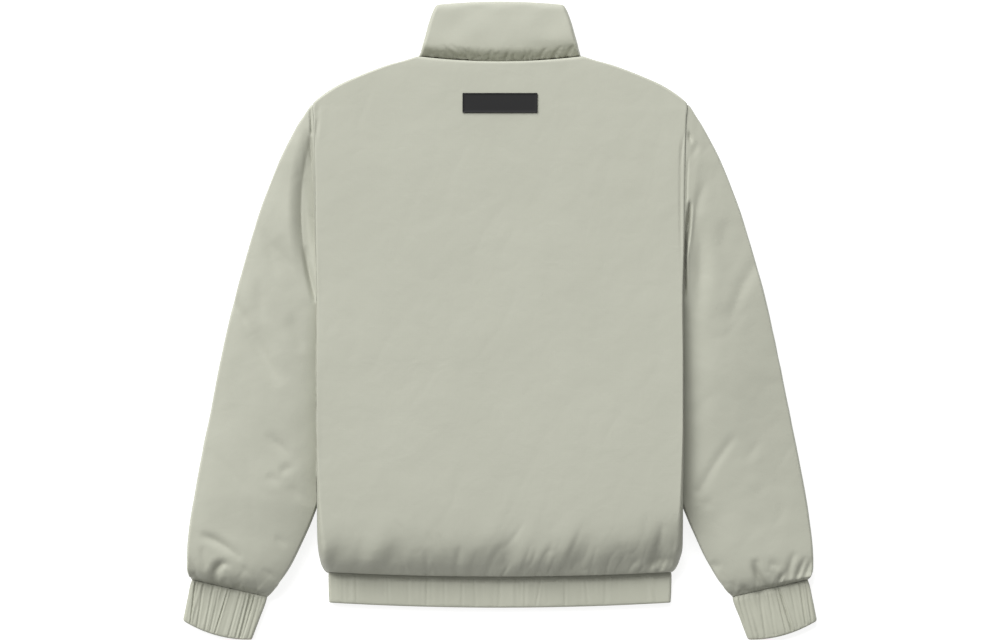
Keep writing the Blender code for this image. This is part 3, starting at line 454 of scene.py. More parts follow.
def parting(row, x):
    """Height at which the back lies on the fronts."""
    dip = PARTING_DIP * row.seam / SIDE_SEAM + np.maximum(0, row.seam - SIDE_SEAM)
    return row.seam - dip * (1 - (x / row.half) ** 2)


inside = place(inside_x, row_down(inside_rows, inside_x), parting(inside_rows, inside_x) + LAYER_GAP / 2)
BACK_CLOTH = shell_cloth("woven polyester shell", "9C9D90", "9A9B8E")
back = piece(shell_mesh("padded_back", outside, inside), BACK_CLOTH, "shell", "back_panel")

# ---------------------------------------------------------------------------------------------------
# Fronts. Two padded panels of the same cloth, sewn to the back at the sides and to the zip tapes at the
# centre. They lie on the table, so they are flat below, with only the side rolls free.
# ---------------------------------------------------------------------------------------------------

SIDES = ((-1, "left"), (1, "right"))    # the wearer's, and the picture's too, as the back is up
SIDE_UNDER = 0.95       # how far the fronts tuck in below the side seam, as a share of its height
ZIP_EDGE = 0.0093       # out to the edge of each front, beside the zip
ZIP_ROUND = 0.008       # rounding of that edge below
ZIP_ROUND_SHARE = 0.4   # the most of the side seam's height that it takes
ZIP_WALL = 5            # points down that edge
FRONT_FLAT = 61         # points across the part that lies on the table
FRONT_GATHER = 0.0034   # depth of the gathers above the hem
FRONT_GATHER_UP = 0.034     # how far up they reach


def outward(grid, wrapped=False):
    """Unit vectors pointing out of a grid of points, which faces up at its highest point."""
    ring = np.concatenate((grid[:, -1:], grid, grid[:, :1]), axis=1) if wrapped else grid
    across = np.gradient(ring, axis=1)
    normal = np.cross(across[:, 1:-1] if wrapped else across, np.gradient(grid, axis=0))
    normal /= np.linalg.norm(normal, axis=-1, keepdims=True) + 1e-12
    highest = normal.reshape(-1, 3)[grid[..., 2].argmax()]
    return normal * np.sign(highest[2])


def pressed_in(grid, depth, wrapped=False):
    """A grid with its points moved in by a depth, none of them below the table."""
    moved = grid - outward(grid, wrapped) * depth[..., None]
    moved[..., 2] = np.maximum(moved[..., 2], np.minimum(grid[..., 2], 0.0))
    return moved


def front(word, side):
    under = SIDE_UNDER * body.seam
    toe = np.minimum(ZIP_ROUND, ZIP_ROUND_SHARE * body.seam)
    parted = parting(body, ZIP_EDGE) - LAYER_GAP / 2
    bend, roll = quarter(6)[1:], quarter(14)[1:]
    level = np.linspace(0, 1, FRONT_FLAT)[1:]
    out = np.concatenate((ZIP_EDGE + 0 * toe * np.ones(ZIP_WALL), ZIP_EDGE + toe * (1 - np.cos(bend)),
                          ZIP_EDGE + toe + (body.half - under - ZIP_EDGE - toe) * level,
                          body.half - under * (1 - np.sin(roll))), axis=1)
    high = np.concatenate((parted + (toe - parted) * np.linspace(0, 1, ZIP_WALL), toe * (1 - np.sin(bend)),
                           0 * toe * level, (body.seam - SEAM_GAP / 2) * (1 - np.cos(roll))), axis=1)
    down = row_down(body, out)
    outside = place(side * out, down, high)
    up = body.down[-1] + body.sag - down
    folds = np.maximum(0, unevenness(side * out + 0.7 * high, up, 0.011, 20 + side, stretch=3.5))
    depth = FRONT_GATHER * folds * bump(up, FRONT_GATHER_UP) * ease(up, 0, 0.004) * ease(down, 0, 0.01)
    depth *= ease(out - ZIP_EDGE, 0, 0.012) * ease(body.seam - high, 0, 0.004)
    outside = pressed_in(outside, depth)
    rows = inside_rows
    inner = ZIP_EDGE + (rows.half - SEAM_LIP - ZIP_EDGE) * np.linspace(0, 1, out.shape[1] // COARSE + 1)
    inside = place(side * inner, row_down(rows, inner), parting(rows, inner) - LAYER_GAP / 2)
    made = piece(shell_mesh("padded_front_" + word, outside, inside), BACK_CLOTH, "shell", "front_" + word)


for side, word in SIDES:
    front(word, side)

# ---------------------------------------------------------------------------------------------------
# Sleeves. Padded tubes of the same cloth, set into the armholes and pressed flat, with their inner edges
# under the sides of the body. Soft folds run from the elbows and the armholes, and each end is gathered
# into its cuff.
# ---------------------------------------------------------------------------------------------------

# Each row crosses the sleeve from its outer edge, away from the body, to its inner edge.
SleeveRow = namedtuple("SleeveRow", "outer_out outer_down inner_out inner_down high cell")
SLEEVE = [SleeveRow(*row) for row in (
    (0.2405, 0.0546, 0.2342, 0.3030, 0.0624, 0.0014),
    (0.2436, 0.0577, 0.2340, 0.3060, 0.0623, 0.0014),
    (0.2472, 0.0627, 0.2338, 0.3095, 0.0622, 0.0016),
    (0.2514, 0.0692, 0.2334, 0.3140, 0.0620, 0.0018),
    (0.2578, 0.0788, 0.2327, 0.3205, 0.0616, 0.0020),
    (0.2656, 0.0932, 0.2317, 0.3287, 0.0606, 0.0022),
    (0.2900, 0.1431, 0.2291, 0.3633, 0.0588, 0.0025),
    (0.3110, 0.2007, 0.2266, 0.4029, 0.0562, 0.0025),
    (0.3290, 0.2609, 0.2266, 0.4413, 0.0537, 0.0025),
    (0.3443, 0.3197, 0.2275, 0.4797, 0.0514, 0.0025),
    (0.3584, 0.3825, 0.2285, 0.5181, 0.0493, 0.0025),
    (0.3725, 0.4529, 0.2305, 0.5553, 0.0474, 0.0024),
    (0.3856, 0.5207, 0.2405, 0.5873, 0.0460, 0.0021),
    (0.3955, 0.5770, 0.2506, 0.6103, 0.0448, 0.0017),
    (0.4010, 0.6231, 0.2662, 0.6423, 0.0430, 0.0013),
    (0.4019, 0.6487, 0.2803, 0.6653, 0.0385, 0.0012),
    (0.3995, 0.6600, 0.2915, 0.6800, 0.0275, 0.0012),
    (0.3960, 0.6645, 0.2982, 0.6867, 0.0130, 0.0012),
)]
SLEEVE_GAP = 0.0003     # between a sleeve and the side of the body that it lies against
SLEEVE_TUCK = 0.0035    # height below which a sleeve tucks no further under the body
HEAD_EASE = 0.0015      # length over which a sleeve leaves the side of the body
SLEEVE_ACROSS = 74      # cells across its upper side between the rounded edges
FULLER = 2 / EDGE_POWER     # makes its rounded edges as full as the back's
# as shares of a sleeve's height
SLEEVE_INNER_LOW, SLEEVE_OUTER_LOW = 0.40, 0.46     # height of the widest point of its inner and outer edge
SLEEVE_SHOULDER = 0.975     # height where its rounded edges end
SLEEVE_ROUND, SLEEVE_UNDER = 0.07, 0.32     # how far they reach in above, and below, where it rolls under
SLEEVE_KEPT = 0.45      # height up to which its edges keep their form where its top is lowered
SLEEVE_MOST_ROUND = 0.42    # the most that the rounded edges reach in, as a share of its width
SLEEVE_WALL = 0.030     # padded wall at its edges
SLEEVE_WALL_SHARE = 0.30    # the most of its width that this takes
# The left sleeve (-1) and the right one (1) lie a little differently.
OUTER_FALL = {-1: 0.0009, 1: 0.0002}    # how much they fall towards the outer edge
DIP_DEEP = {-1: 0.009, 1: 0.012}    # how far they dip where they go under the body
DIP_WIDE = {-1: 0.017, 1: 0.022}    # half the width of that dip
DIP_SHAPE = {-1: 1.0, 1: 1.5}       # 1 is steepest at the body, and more is rounder there
DIP_FROM, DIP_TO = 0.230, 0.345     # down to where the dip starts and where it has its full depth
DIP_LEAST = 0.0125      # a sleeve no higher than this has no dip
DIP_RISE = 0.030        # and one that is so much higher has all of it
FREE_FROM, FREE_TO = 0.520, 0.600   # down to where the dip changes, as the sleeve leaves the body
FREE_WIDER, FREE_DEEPER = 0.90, 0.35    # how much wider and deeper it gets, as shares
LEAN = {-1: 0.00, 1: 0.40}  # how much lower the outer edge is near the cuff, as a share of the height
LEAN_FROM, LEAN_TO = 0.26, 0.60     # down to where that starts and where it has its full share
HOLLOW = 0.0105         # depth of the hollow between the left armhole and a fold on the sleeve
HOLLOW_FROM, HOLLOW_TO = 0.086, 0.305       # down to its ends
HOLLOW_WIDE, HOLLOW_SLOPE = 0.0190, 0.017   # its greatest width, and the width of its slope beyond
SEAM_DEEPER = 0.32      # how much deeper it is at the seam, as a share
SEAM_NEAR = 0.016       # how far out from the seam it is deeper
CUFF_GATHER = 0.0030    # depth of the gathers above the cuff
CUFF_GATHER_UP = 0.022  # how far up they reach
# depth, size and seed of the wadding's lumps, and the length over which they start above the cuff
SLEEVE_LUMPS = ((0.0007, 0.050, 32, 0.03), (0.0002, 0.018, 34, 0.02))
SLEEVE_CRUMPLE = 0.0002     # depth of the soft crumpling all over
CUFF_WRINKLE = 0.0009       # depth of the fine wrinkles between the gathers
SLEEVE_CREASES = {
    -1: [Crease(*row) for row in (
        # along the armhole
        (-241.0, 60.0, -240.8, 76.0, -240.6, 92.0, 3.4, 1.8, 0.6, 1.0),
        (-249.5, 236.0, -245.0, 266.0, -237.2, 304.0, 3.2, 3.6, 0.0, 0.5),
        (-243.2, 99.6, -241.9, 116.2, -239.4, 135.4, 1.6, 2.4, 0.3, 0.0),
        (-291.8, 228.9, -267.5, 264.7, -246.8, 309.5, 3.2, 17.0, 0.1, 0.6),
        # elbow
        (-304.6, 210.9, -294.4, 241.7, -285.4, 276.2, 0.9, 6.8, 0.0, 0.2),
        (-308.5, 277.5, -307.2, 305.7, -302.1, 335.1, 1.0, 8.4, 0.0, 0.0),
        (-344.3, 308.2, -331.5, 323.6, -320.0, 346.6, 2.2, 7.6, 0.8, 0.2),
        (-323.8, 336.4, -304.6, 372.2, -280.3, 415.7, 2.5, 9.2, 0.1, 0.0),
        (-271.4, 323.6, -259.8, 349.2, -253.4, 374.8, 1.5, 8.8, 0.0, 0.0),
        # forearm
        (-302.1, 477.2, -281.6, 492.5, -266.2, 510.5, 1.3, 6.0, 0.0, 0.3),
        (-284.2, 525.8, -275.2, 523.3, -265.0, 519.4, 1.1, 6.0, 0.0, 0.4),
        (-299.5, 529.7, -290.6, 534.8, -279.0, 539.9, 0.9, 6.0, 0.0, 0.0),
        (-268.8, 541.2, -263.7, 550.1, -257.3, 562.9, 0.7, 6.0, 0.0, 0.0),
        (-289.3, 610.3, -281.6, 614.1, -273.9, 623.1, 0.8, 5.2, 0.0, 0.0),
        # above the cuff
        (-385.3, 606.5, -362.2, 615.4, -336.6, 633.3, 2.7, 5.5, 0.1, 0.4),
        (-349.4, 644.9, -362.2, 648.7, -367.4, 674.3, 4.2, 4.9, 0.2, 1.0),
        (-354.6, 646.1, -361.0, 648.7, -367.4, 655.1, 2.0, 7.0, 0.2, 0.4),
        (-401.9, 635.9, -391.7, 655.1, -381.4, 673.0, 2.4, 3.1, 0.3, 1.0),
        (-381.4, 620.5, -380.2, 634.6, -375.0, 650.0, 1.0, 4.2, 0.0, 0.0),
        (-330.2, 669.2, -339.2, 674.3, -348.2, 679.4, 2.4, 3.1, 0.0, 1.0),
        (-289.3, 676.9, -304.6, 682.0, -322.6, 688.4, 2.1, 3.1, 0.3, 1.0),
        (-305.9, 650.0, -295.7, 656.4, -285.4, 665.3, 1.0, 3.9, 0.0, 0.0),
        (-331.5, 644.9, -323.8, 653.8, -313.6, 665.3, 0.8, 3.9, 0.0, 0.0),
    )],
    1: [Crease(*row) for row in (
        # along the armhole
        (242.4, 184.0, 241.2, 206.0, 238.0, 246.0, 8.5, 2.3, 0.45, 0.2),
        (238.6, 196.0, 237.6, 250.0, 237.8, 306.0, 10.0, 1.5, 0.1, 0.0),
        (240.2, 126.0, 238.2, 152.0, 237.4, 196.0, 1.6, 1.6, 0.2, 0.8),
        (238.1, 90.6, 241.9, 95.7, 244.5, 103.4, 2.5, 2.4, 0.3, 0.3),
        (253.4, 103.4, 249.6, 113.7, 243.2, 123.9, 1.0, 5.0, 0.0, 0.2),
        (265.0, 152.1, 252.2, 185.3, 247.0, 244.2, 1.3, 6.0, 0.1, 0.2),
        (252.6, 196.6, 256.2, 259.8, 251.0, 330.0, 4.2, 11.5, 0.1, 0.1),
        # elbow
        (290.6, 202.0, 286.7, 222.5, 280.3, 245.5, 0.7, 8.8, 0.0, 0.0),
        (330.2, 257.0, 308.5, 292.9, 293.1, 344.1, 1.3, 8.0, 0.8, 0.1),
        # forearm
        (304.6, 477.2, 282.9, 504.1, 254.7, 550.1, 1.3, 6.0, 0.0, 0.9),
        (331.5, 484.9, 322.6, 500.2, 311.0, 516.9, 0.6, 6.4, 0.0, 0.0),
        (253.4, 564.2, 263.7, 566.8, 275.2, 565.5, 0.8, 6.4, 0.2, 0.0),
        (367.4, 566.8, 359.7, 582.1, 350.7, 597.5, 0.4, 6.0, 0.0, 0.0),
        # above the cuff
        (327.7, 643.6, 332.8, 661.5, 345.6, 676.9, 5.0, 4.6, 0.4, 1.0),
        (343.0, 643.6, 350.7, 644.9, 359.7, 650.0, 1.4, 5.7, 0.0, 0.2),
        (364.8, 655.1, 358.4, 665.3, 357.1, 675.6, 3.4, 3.1, 0.2, 1.0),
        (378.9, 626.9, 372.5, 644.9, 369.9, 665.3, 1.7, 4.2, 0.0, 0.8),
        (390.4, 638.5, 384.0, 652.5, 378.9, 667.9, 2.5, 3.4, 0.3, 1.0),
        (399.4, 639.7, 394.2, 651.3, 390.4, 665.3, 1.7, 3.1, 0.4, 1.0),
        (307.2, 671.7, 317.4, 676.9, 325.1, 685.8, 2.0, 3.6, 0.0, 1.0),
        (270.1, 641.0, 276.5, 646.1, 284.2, 650.0, 0.9, 5.7, 0.0, 0.0),
    )],
}


def beside_body(down, high):
    """How far out a sleeve can start at a height, beside the body."""
    high = np.maximum(high, SLEEVE_TUCK)
    half, seam, edge, edge_high = (np.interp(down, body.down[:, 0], column[:, 0])
                                   for column in (body.half, body.seam, body.edge, brow(body)))
    below = np.clip((seam - high) / seam, 0, 1)
    above = np.clip((high - seam) / (edge_high - seam), 0, 1)
    return SLEEVE_GAP + np.where(high <= seam, half - SIDE_UNDER * seam * (1 - np.sqrt(1 - below ** 2)),
                                 half - edge * (1 - (1 - above ** 2) ** (1 / EDGE_POWER)))


def sleeve_step(a, b):
    """Distance between two rows of a sleeve: the mean of that at its two edges, and some of the rise."""
    outer = hypot(b.outer_out - a.outer_out, b.outer_down - a.outer_down)
    inner = hypot(b.inner_out - a.inner_out, b.inner_down - a.inner_down)
    return 0.5 * outer + 0.5 * inner + 0.4 * abs(b.high - a.high)


def sleeve_width(row):
    return np.hypot(row.outer_out - row.inner_out, row.outer_down - row.inner_down)


def sleeve_section(row):
    """Shares across and heights all round a sleeve, from its inner edge over the top."""
    width = sleeve_width(row)
    reach = np.minimum(SLEEVE_MOST_ROUND, SLEEVE_ROUND * row.high / width)
    under = np.minimum(SLEEVE_MOST_ROUND, SLEEVE_UNDER * row.high / width)
    low_in, low_out = SLEEVE_INNER_LOW * row.high, SLEEVE_OUTER_LOW * row.high
    shoulder = SLEEVE_SHOULDER * row.high
    up, over, foot, heel = quarter(16), quarter(14), quarter(8)[1:], quarter(6)[1:-1]
    middle = np.linspace(-1, 1, SLEEVE_ACROSS + 1)[1:-1]
    level = np.linspace(0, 1, 35)[1:]
    share = (reach * (1 - np.cos(up) ** FULLER), 0.5 + (0.5 - reach) * middle,
             1 - reach * (1 - np.sin(over) ** FULLER),
             1 - reach * (1 - np.cos(foot)) - (under - reach) * np.sin(foot) ** 2,
             1 - under - (1 - 2 * under) * level,
             under - (under - reach) * np.sin(heel) ** 2 - reach * np.sin(heel))
    high = (low_in + (shoulder - low_in) * np.sin(up), row.high - (row.high - shoulder) * middle ** 2,
            low_out + (shoulder - low_out) * np.cos(over), low_out * (1 - np.sin(foot)), 0 * reach * level,
            low_in * (1 - np.cos(heel)))
    return np.concatenate(share, axis=1), np.concatenate(high, axis=1)


def laid(share, high, row, leaves):
    """Where a sleeve's points lie, out and down, clear of the side of the body."""
    out = row.inner_out + (row.outer_out - row.inner_out) * share
    down = row.inner_down + (row.outer_down - row.inner_down) * share
    beside = beside_body(down, high)
    clear = np.where(down < body.down[-1], np.maximum(out, beside), out)
    return beside + (clear - beside) * leaves, down


def sunk(side, share, high, row, out, down, travel, leaves):
    """Heights of a sleeve with its top lowered by its hollow, its lean and its dip beside the body."""
    beyond = np.maximum(0, out - np.interp(down, body.down[:, 0], body.half[:, 0]))
    width = sleeve_width(row)
    free = ease(down, FREE_FROM, FREE_TO)
    dip_wide = DIP_WIDE[side] * (1 + FREE_WIDER * free)
    dips = np.exp(-(np.minimum(beyond, share * width) / dip_wide) ** DIP_SHAPE[side])
    dips *= (1 + FREE_DEEPER * free) * ease(down, DIP_FROM, DIP_TO)
    dips *= leaves * np.clip((row.high - DIP_LEAST) / DIP_RISE, 0, 1)
    swing = np.sin(pi * np.clip((down - HOLLOW_FROM) / (HOLLOW_TO - HOLLOW_FROM), 0, 1))
    hollow = np.clip(1 - (beyond - HOLLOW_WIDE * swing ** 0.8) / HOLLOW_SLOPE, 0, 1) ** 1.8 * swing ** 0.9
    hollow *= 1 + SEAM_DEEPER * np.clip(1 - beyond / SEAM_NEAR, 0, 1)
    hollow *= ease(travel, 0, 0.004) * (side < 0)
    leans = LEAN[side] * ease(down, LEAN_FROM, LEAN_TO) * ease(row.high, 0.02, 0.04)
    fall = OUTER_FALL[side] * bump((1 - share) * width, 0.013) * ease(travel, 0, 0.05)
    least = SLEEVE_KEPT * row.high
    top = (high - least) / (row.high - least)
    high = np.where(high > least, high - top * (HOLLOW * hollow + leans * row.high * share + fall), high)
    return np.where(high > least, least + (high - least) * (1 - dips * DIP_DEEP[side] / (row.high - least)),
                    high)


def sleeve_relief(side, row, x, down, up, travel, around, on_top):
    """How far gathers, wrinkles and the lie of the wadding press a sleeve in."""
    gathered = np.clip((row.high - BAND_SEAM) / GATHER_RISE, 0, 1)
    folds = np.maximum(0, unevenness(0.27 * around + 0.3 * up, up, 0.009, 30 + side, stretch=3.0))
    depth = CUFF_GATHER * folds * bump(up, CUFF_GATHER_UP) * (1 - 0.55 * on_top) * gathered
    for deep, size, seed, fade in SLEEVE_LUMPS:
        depth += deep * unevenness(x, down, size, seed + side) * ease(travel, 0, 0.03) * ease(up, 0, fade)
    crumple = wrinkled(x, down, 0.030, 36 + side, 1.8, 0.6 * side)
    wrinkles = wrinkled(x, up, 0.0085, 38 + side, 2.6, -0.3 * side)
    return (depth + SLEEVE_CRUMPLE * crumple * on_top * ease(up, 0, 0.02)
            + CUFF_WRINKLE * wrinkles * bump(up, 0.017) * gathered)


def sleeve_inside(side, row, around, leaves):
    """The hidden slot between a sleeve's two layers."""
    slot_half = 0.5 - np.minimum(SLEEVE_WALL_SHARE, SLEEVE_WALL / sleeve_width(row))
    share = 0.5 - slot_half * np.cos(2 * pi * around)
    high = SLEEVE_OUTER_LOW * row.high + LAYER_GAP * np.sin(2 * pi * around)
    out, down = laid(share, high, row, leaves)
    return place(side * out, down, high)


def sleeve_head(side, outer, inner):
    """Rows of points that close the sleeve's wall along the side of the body."""
    for k in range(COARSE):
        spot = inner + (outer - inner) * (k + 0.02) / COARSE
        out = beside_body(MIDDLE - spot[:, 1], spot[:, 2])
        yield np.stack((side * out, spot[:, 1], spot[:, 2]), axis=-1)


def sleeve(word, side):
    row = filled_in(SLEEVE, sleeve_step)
    share, high = sleeve_section(row)
    around = np.arange(share.shape[1]) / share.shape[1]
    travel = np.hypot(row.outer_out - row.outer_out[0], row.outer_down - row.outer_down[0])
    leaves = ease(travel, 0, HEAD_EASE)
    out, down = laid(share, high, row, leaves)
    on_top = np.clip((high - 0.5 * row.high) / (0.3 * row.high), 0, 1)
    high = sunk(side, share, high, row, out, down, travel, leaves)
    out, down = laid(share, high, row, leaves)
    up = np.maximum(0, row.outer_down[-1] + (row.inner_down[-1] - row.outer_down[-1]) * (1 - share) - down)
    folds = creases(side * out, down, SLEEVE_CREASES[side]) * on_top * ease(travel, 0, 0.004)
    folds *= np.clip((row.high - BAND_SEAM) / GATHER_RISE, 0.35, 1)
    depth = sleeve_relief(side, row, side * out, down, up, travel, around, on_top) * ease(high, 0, 0.006)
    outside = pressed_in(place(side * out, down, high - folds), depth, wrapped=True)
    inside = sleeve_inside(side, thinned(row), around, leaves[::COARSE])
    outside = np.concatenate((np.stack(list(sleeve_head(side, outside[0], inside[0]))), outside))
    cloth = shell_cloth("woven polyester shell, " + word + " sleeve", "9C9D90", "9A9B8E", grain=side * 0.27)
    mesh = shell_mesh("padded_sleeve_" + word, outside, inside[:, ::COARSE], wrapped=True)
    made = piece(mesh, cloth, "shell", "sleeve_" + word)


for side, word in SIDES:
    sleeve(word, side)

# ---------------------------------------------------------------------------------------------------
# Collar. A padded stand collar that goes round the neck from one side of the zip to the other, and lies
# flat here with its back up. It rolls over sharply into the neck seam, which puckers its lower edge.
# ---------------------------------------------------------------------------------------------------

# down: place of a row's ends     half: half its width     bow: how much lower its middle is
# top, low: heights of its outer faces                     cell: length of a mesh cell up to the next row
BandRow = namedtuple("BandRow", "down half bow top low cell")
COLLAR = [BandRow(*row) for row in (
    (-0.0070, 0.1045, 0.0067, 0.0270, 0.0020, 0.0009),
    (-0.0072, 0.1044, 0.0067, 0.0310, 0.0022, 0.0009),
    (-0.0077, 0.1041, 0.0066, 0.0321, 0.0025, 0.0009),
    (-0.0090, 0.1034, 0.0064, 0.0336, 0.0030, 0.0010),
    (-0.0110, 0.1026, 0.0061, 0.0357, 0.0036, 0.0010),
    (-0.0135, 0.1016, 0.0058, 0.0384, 0.0043, 0.0011),
    (-0.0165, 0.1007, 0.0053, 0.0413, 0.0054, 0.0012),
    (-0.0195, 0.0999, 0.0048, 0.0430, 0.0063, 0.0013),
    (-0.0230, 0.0989, 0.0042, 0.0437, 0.0070, 0.0016),
    (-0.0280, 0.0974, 0.0035, 0.0438, 0.0078, 0.0020),
    (-0.0350, 0.0954, 0.0024, 0.0436, 0.0082, 0.0022),
    (-0.0450, 0.0928, 0.0008, 0.0431, 0.0084, 0.0022),
    (-0.0570, 0.0890, -0.0012, 0.0423, 0.0084, 0.0018),
    (-0.0665, 0.0852, -0.0030, 0.0415, 0.0086, 0.0012),
    (-0.0713, 0.0824, -0.0037, 0.0400, 0.0096, 0.0010),
    (-0.0726, 0.0808, -0.0039, 0.0356, 0.0125, 0.0009),
    (-0.0732, 0.0792, -0.0040, 0.0295, 0.0150, 0.0008),
    (-0.0734, 0.0780, -0.0040, 0.0212, 0.0176, 0.0010),
)]
COLLAR_SLOT = 0.0192        # height at which the back of the collar lies on its front
COLLAR_WALL = 0.0150        # the padded wall at its side folds
PUCKER_UP = 0.013           # how far up the puckers of the neck seam reach
# a press along the roll, at the right: its depth, how far out it is full, where it lies, and half its width
PRESS_DEEP, PRESS_OUT, PRESS_DOWN, PRESS_WIDE = 0.0024, 0.1, -0.0165, 0.0075
SIDE_FOLD = 0.004           # the most that the rounded sides of a band take up across it
SLOT_OPEN = 0.0010          # half the height that a band's opening stands open
COLLAR_CREASES = [Crease(*row) for row in (
    (-75.5, -22.0, -64.0, -11.8, -52.5, -0.3, 1.4, 2.4, 0.0, 1.0),
    (-65.3, -22.0, -52.5, -13.1, -41.0, -0.3, 1.6, 2.2, 0.0, 1.0),
    (-53.8, -19.5, -43.5, -11.8, -33.3, -0.3, 1.4, 2.2, 0.0, 1.0),
    (-42.2, -18.2, -35.8, -10.5, -29.4, -0.3, 1.4, 2.2, 0.0, 1.0),
    (-92.2, -16.9, -87.0, -9.2, -79.4, -0.3, 1.2, 2.4, 0.0, 1.0),
    (-9.0, -15.6, -12.8, -9.2, -15.4, -0.3, 1.0, 2.2, 0.0, 1.0),
    (12.8, -13.1, 9.0, -7.9, 6.4, -0.3, 1.0, 2.2, 0.0, 1.0),
    (43.5, -15.6, 38.4, -9.2, 34.6, -0.3, 1.0, 2.2, 0.0, 1.0),
    (61.4, -16.9, 55.0, -10.5, 49.9, -0.3, 1.2, 2.2, 0.0, 1.0),
    (80.6, -19.5, 73.0, -11.8, 66.6, -1.5, 1.4, 2.4, 0.0, 1.0),
    (96.0, -22.0, 90.9, -14.3, 84.5, -4.1, 1.4, 2.4, 0.0, 1.0),
)]

# A band's points go along its underside, round a fold, over its upper side and back. face is 1 above,
# where share runs from -1 to 1 across it, 0 on a fold, where share is the angle down from above, and -1
# below, where share runs from the opening at 0 to the fold.
Path = namedtuple("Path", "face side share")


def round_a_band(upper, fold, under):
    """The path round a band, with so many points above, on each fold, and on each side of the opening."""
    angles = pi * np.arange(1, fold + 1) / (fold + 1)
    below = np.linspace(0, 1, under)
    return Path(
        np.repeat((-1, 0, 1, 0, -1), (under, fold, upper, fold, under)),
        np.repeat((-1, 1), (under + fold, upper + fold + under)),
        np.concatenate((below, angles[::-1], np.linspace(-1, 1, upper), angles, below[::-1])),
    )


def flattened(path, half, top, low, opening):
    """Place across a flattened band and height of its points."""
    radius, middle = (top - low) / 2, (top + low) / 2
    fold = np.minimum(radius, SIDE_FOLD)
    flat = half - fold
    across = np.select(
        (path.face > 0, path.face < 0),
        (path.share * flat, path.side * (opening + path.share * (flat - opening))),
        path.side * (flat + fold * np.abs(np.sin(path.share)) ** FULLER))
    high = np.select((path.face > 0, path.face < 0), (top + 0 * across, low + 0 * across),
                     middle + radius * np.cos(path.share))
    return across, high


def band_mesh(name, rows, path, slot, wall, relief, to_frame, opening=0.0):
    """A flattened band. relief says how far its outside is pressed in, and to_frame puts it in place."""
    across, high = flattened(path, rows.half, rows.top, rows.low, opening)
    down = rows.down + rows.bow * (1 - (across / rows.half) ** 2)
    outside = to_frame(across, down, high)
    few = thinned(rows)
    inner, inner_high = flattened(thinned(path), few.half - wall, slot + SLOT_OPEN, slot - SLOT_OPEN,
                                  opening)
    inside = to_frame(inner, few.down + few.bow * (1 - (inner / few.half) ** 2), inner_high)
    if not opening:
        outside, inside = outside[:, :-1], inside[:, :-1]
    depth = relief(across, down, high)[:, :outside.shape[1]]
    return shell_mesh(name, pressed_in(outside, depth, wrapped=not opening), inside, wrapped=not opening)


def band_step(a, b):
    """Distance between two rows of a band."""
    return hypot(b.down - a.down, b.top - a.top)


collar_rows = filled_in(COLLAR, band_step)
collar_path = round_a_band(123, 11, 56)


def collar_relief(across, down, high):
    """How far puckers, creases and the lie of the wadding press the collar in."""
    up = collar_rows.down[0] + COLLAR[0].bow - down
    above = collar_path.face > 0
    puckers = (0.0010 * wrinkled(across, up, 0.0075, 41, 2.4, 0.5)
               + 0.0006 * wrinkled(across, up, 0.0042, 43, 1.8, 0.2)) * bump(up, PUCKER_UP)
    folds = 0.7 * creases(across, down, COLLAR_CREASES) * above
    press = PRESS_DEEP * ease(across, 0, PRESS_OUT) * bump(down - PRESS_DOWN, PRESS_WIDE) * above
    lumps = 0.0006 * unevenness(across, down + high, 0.030, 42) * ease(up, 0, 0.01)
    return (puckers + folds) * ease(up, 0, 0.0016) + press + lumps * ease(down, -0.0745, -0.0665)


mesh = band_mesh("padded_collar", collar_rows, collar_path, COLLAR_SLOT, COLLAR_WALL, collar_relief, place,
                 ZIP_EDGE)
collar = piece(mesh, BACK_CLOTH, "shell", "collar")

# ---------------------------------------------------------------------------------------------------
# Hem band and cuffs. Strips of the same cloth folded over wide woven elastic, stretched while they were
# sewn on, so they draw back into uneven upright ribs with a few deeper creases.
# ---------------------------------------------------------------------------------------------------

HEM_BAND = [BandRow(*row) for row in (
    (0.6554, 0.2200, 0.0058, 0.0131, 0.0000, 0.0012),
    (0.6600, 0.2204, 0.0059, 0.0134, 0.0000, 0.0016),
    (0.6740, 0.2202, 0.0061, 0.0136, 0.0000, 0.0016),
    (0.6880, 0.2198, 0.0063, 0.0135, 0.0000, 0.0013),
    (0.6928, 0.2194, 0.0064, 0.0131, 0.0003, 0.0008),
    (0.6940, 0.2188, 0.0064, 0.0116, 0.0016, 0.0006),
    (0.6944, 0.2180, 0.0064, 0.0095, 0.0036, 0.0005),
    (0.6945, 0.2176, 0.0064, 0.0074, 0.0050, 0.0007),
)]
CUFF = [BandRow(*row) for row in (
    (0.0003, 0.0496, 0.0000, 0.0122, 0.0000, 0.0010),
    (0.0070, 0.0500, 0.0006, 0.0136, 0.0000, 0.0015),
    (0.0260, 0.0484, 0.0026, 0.0136, 0.0000, 0.0015),
    (0.0475, 0.0464, 0.0054, 0.0135, 0.0000, 0.0013),
    (0.0550, 0.0456, 0.0063, 0.0130, 0.0003, 0.0008),
    (0.0564, 0.0450, 0.0064, 0.0114, 0.0018, 0.0006),
    (0.0568, 0.0442, 0.0064, 0.0094, 0.0036, 0.0005),
    (0.0569, 0.0438, 0.0064, 0.0074, 0.0050, 0.0007),
)]
BAND_SLOT = 0.0062          # height of the inside of the hem band and the cuffs
BAND_WALL = 0.0060          # their wall, two layers of cloth over the elastic
CUFF_LEAN = 0.061           # how far a cuff leans outwards, a metre down
CUFF_SKEW = 0.040           # how much shorter its outer side is than its middle, as a share

RIB_SIZE = 0.0075           # between the hem band's ribs
CUFF_RIB_SIZE = 0.0062      # the same on the cuffs
HEM_LIVELY = 0.55           # how deep the hem band's ribs are, as a share of the cuffs'
PLEAT_SWELL = 0.25          # height of the swell on each side of a pleat, as a share of its depth

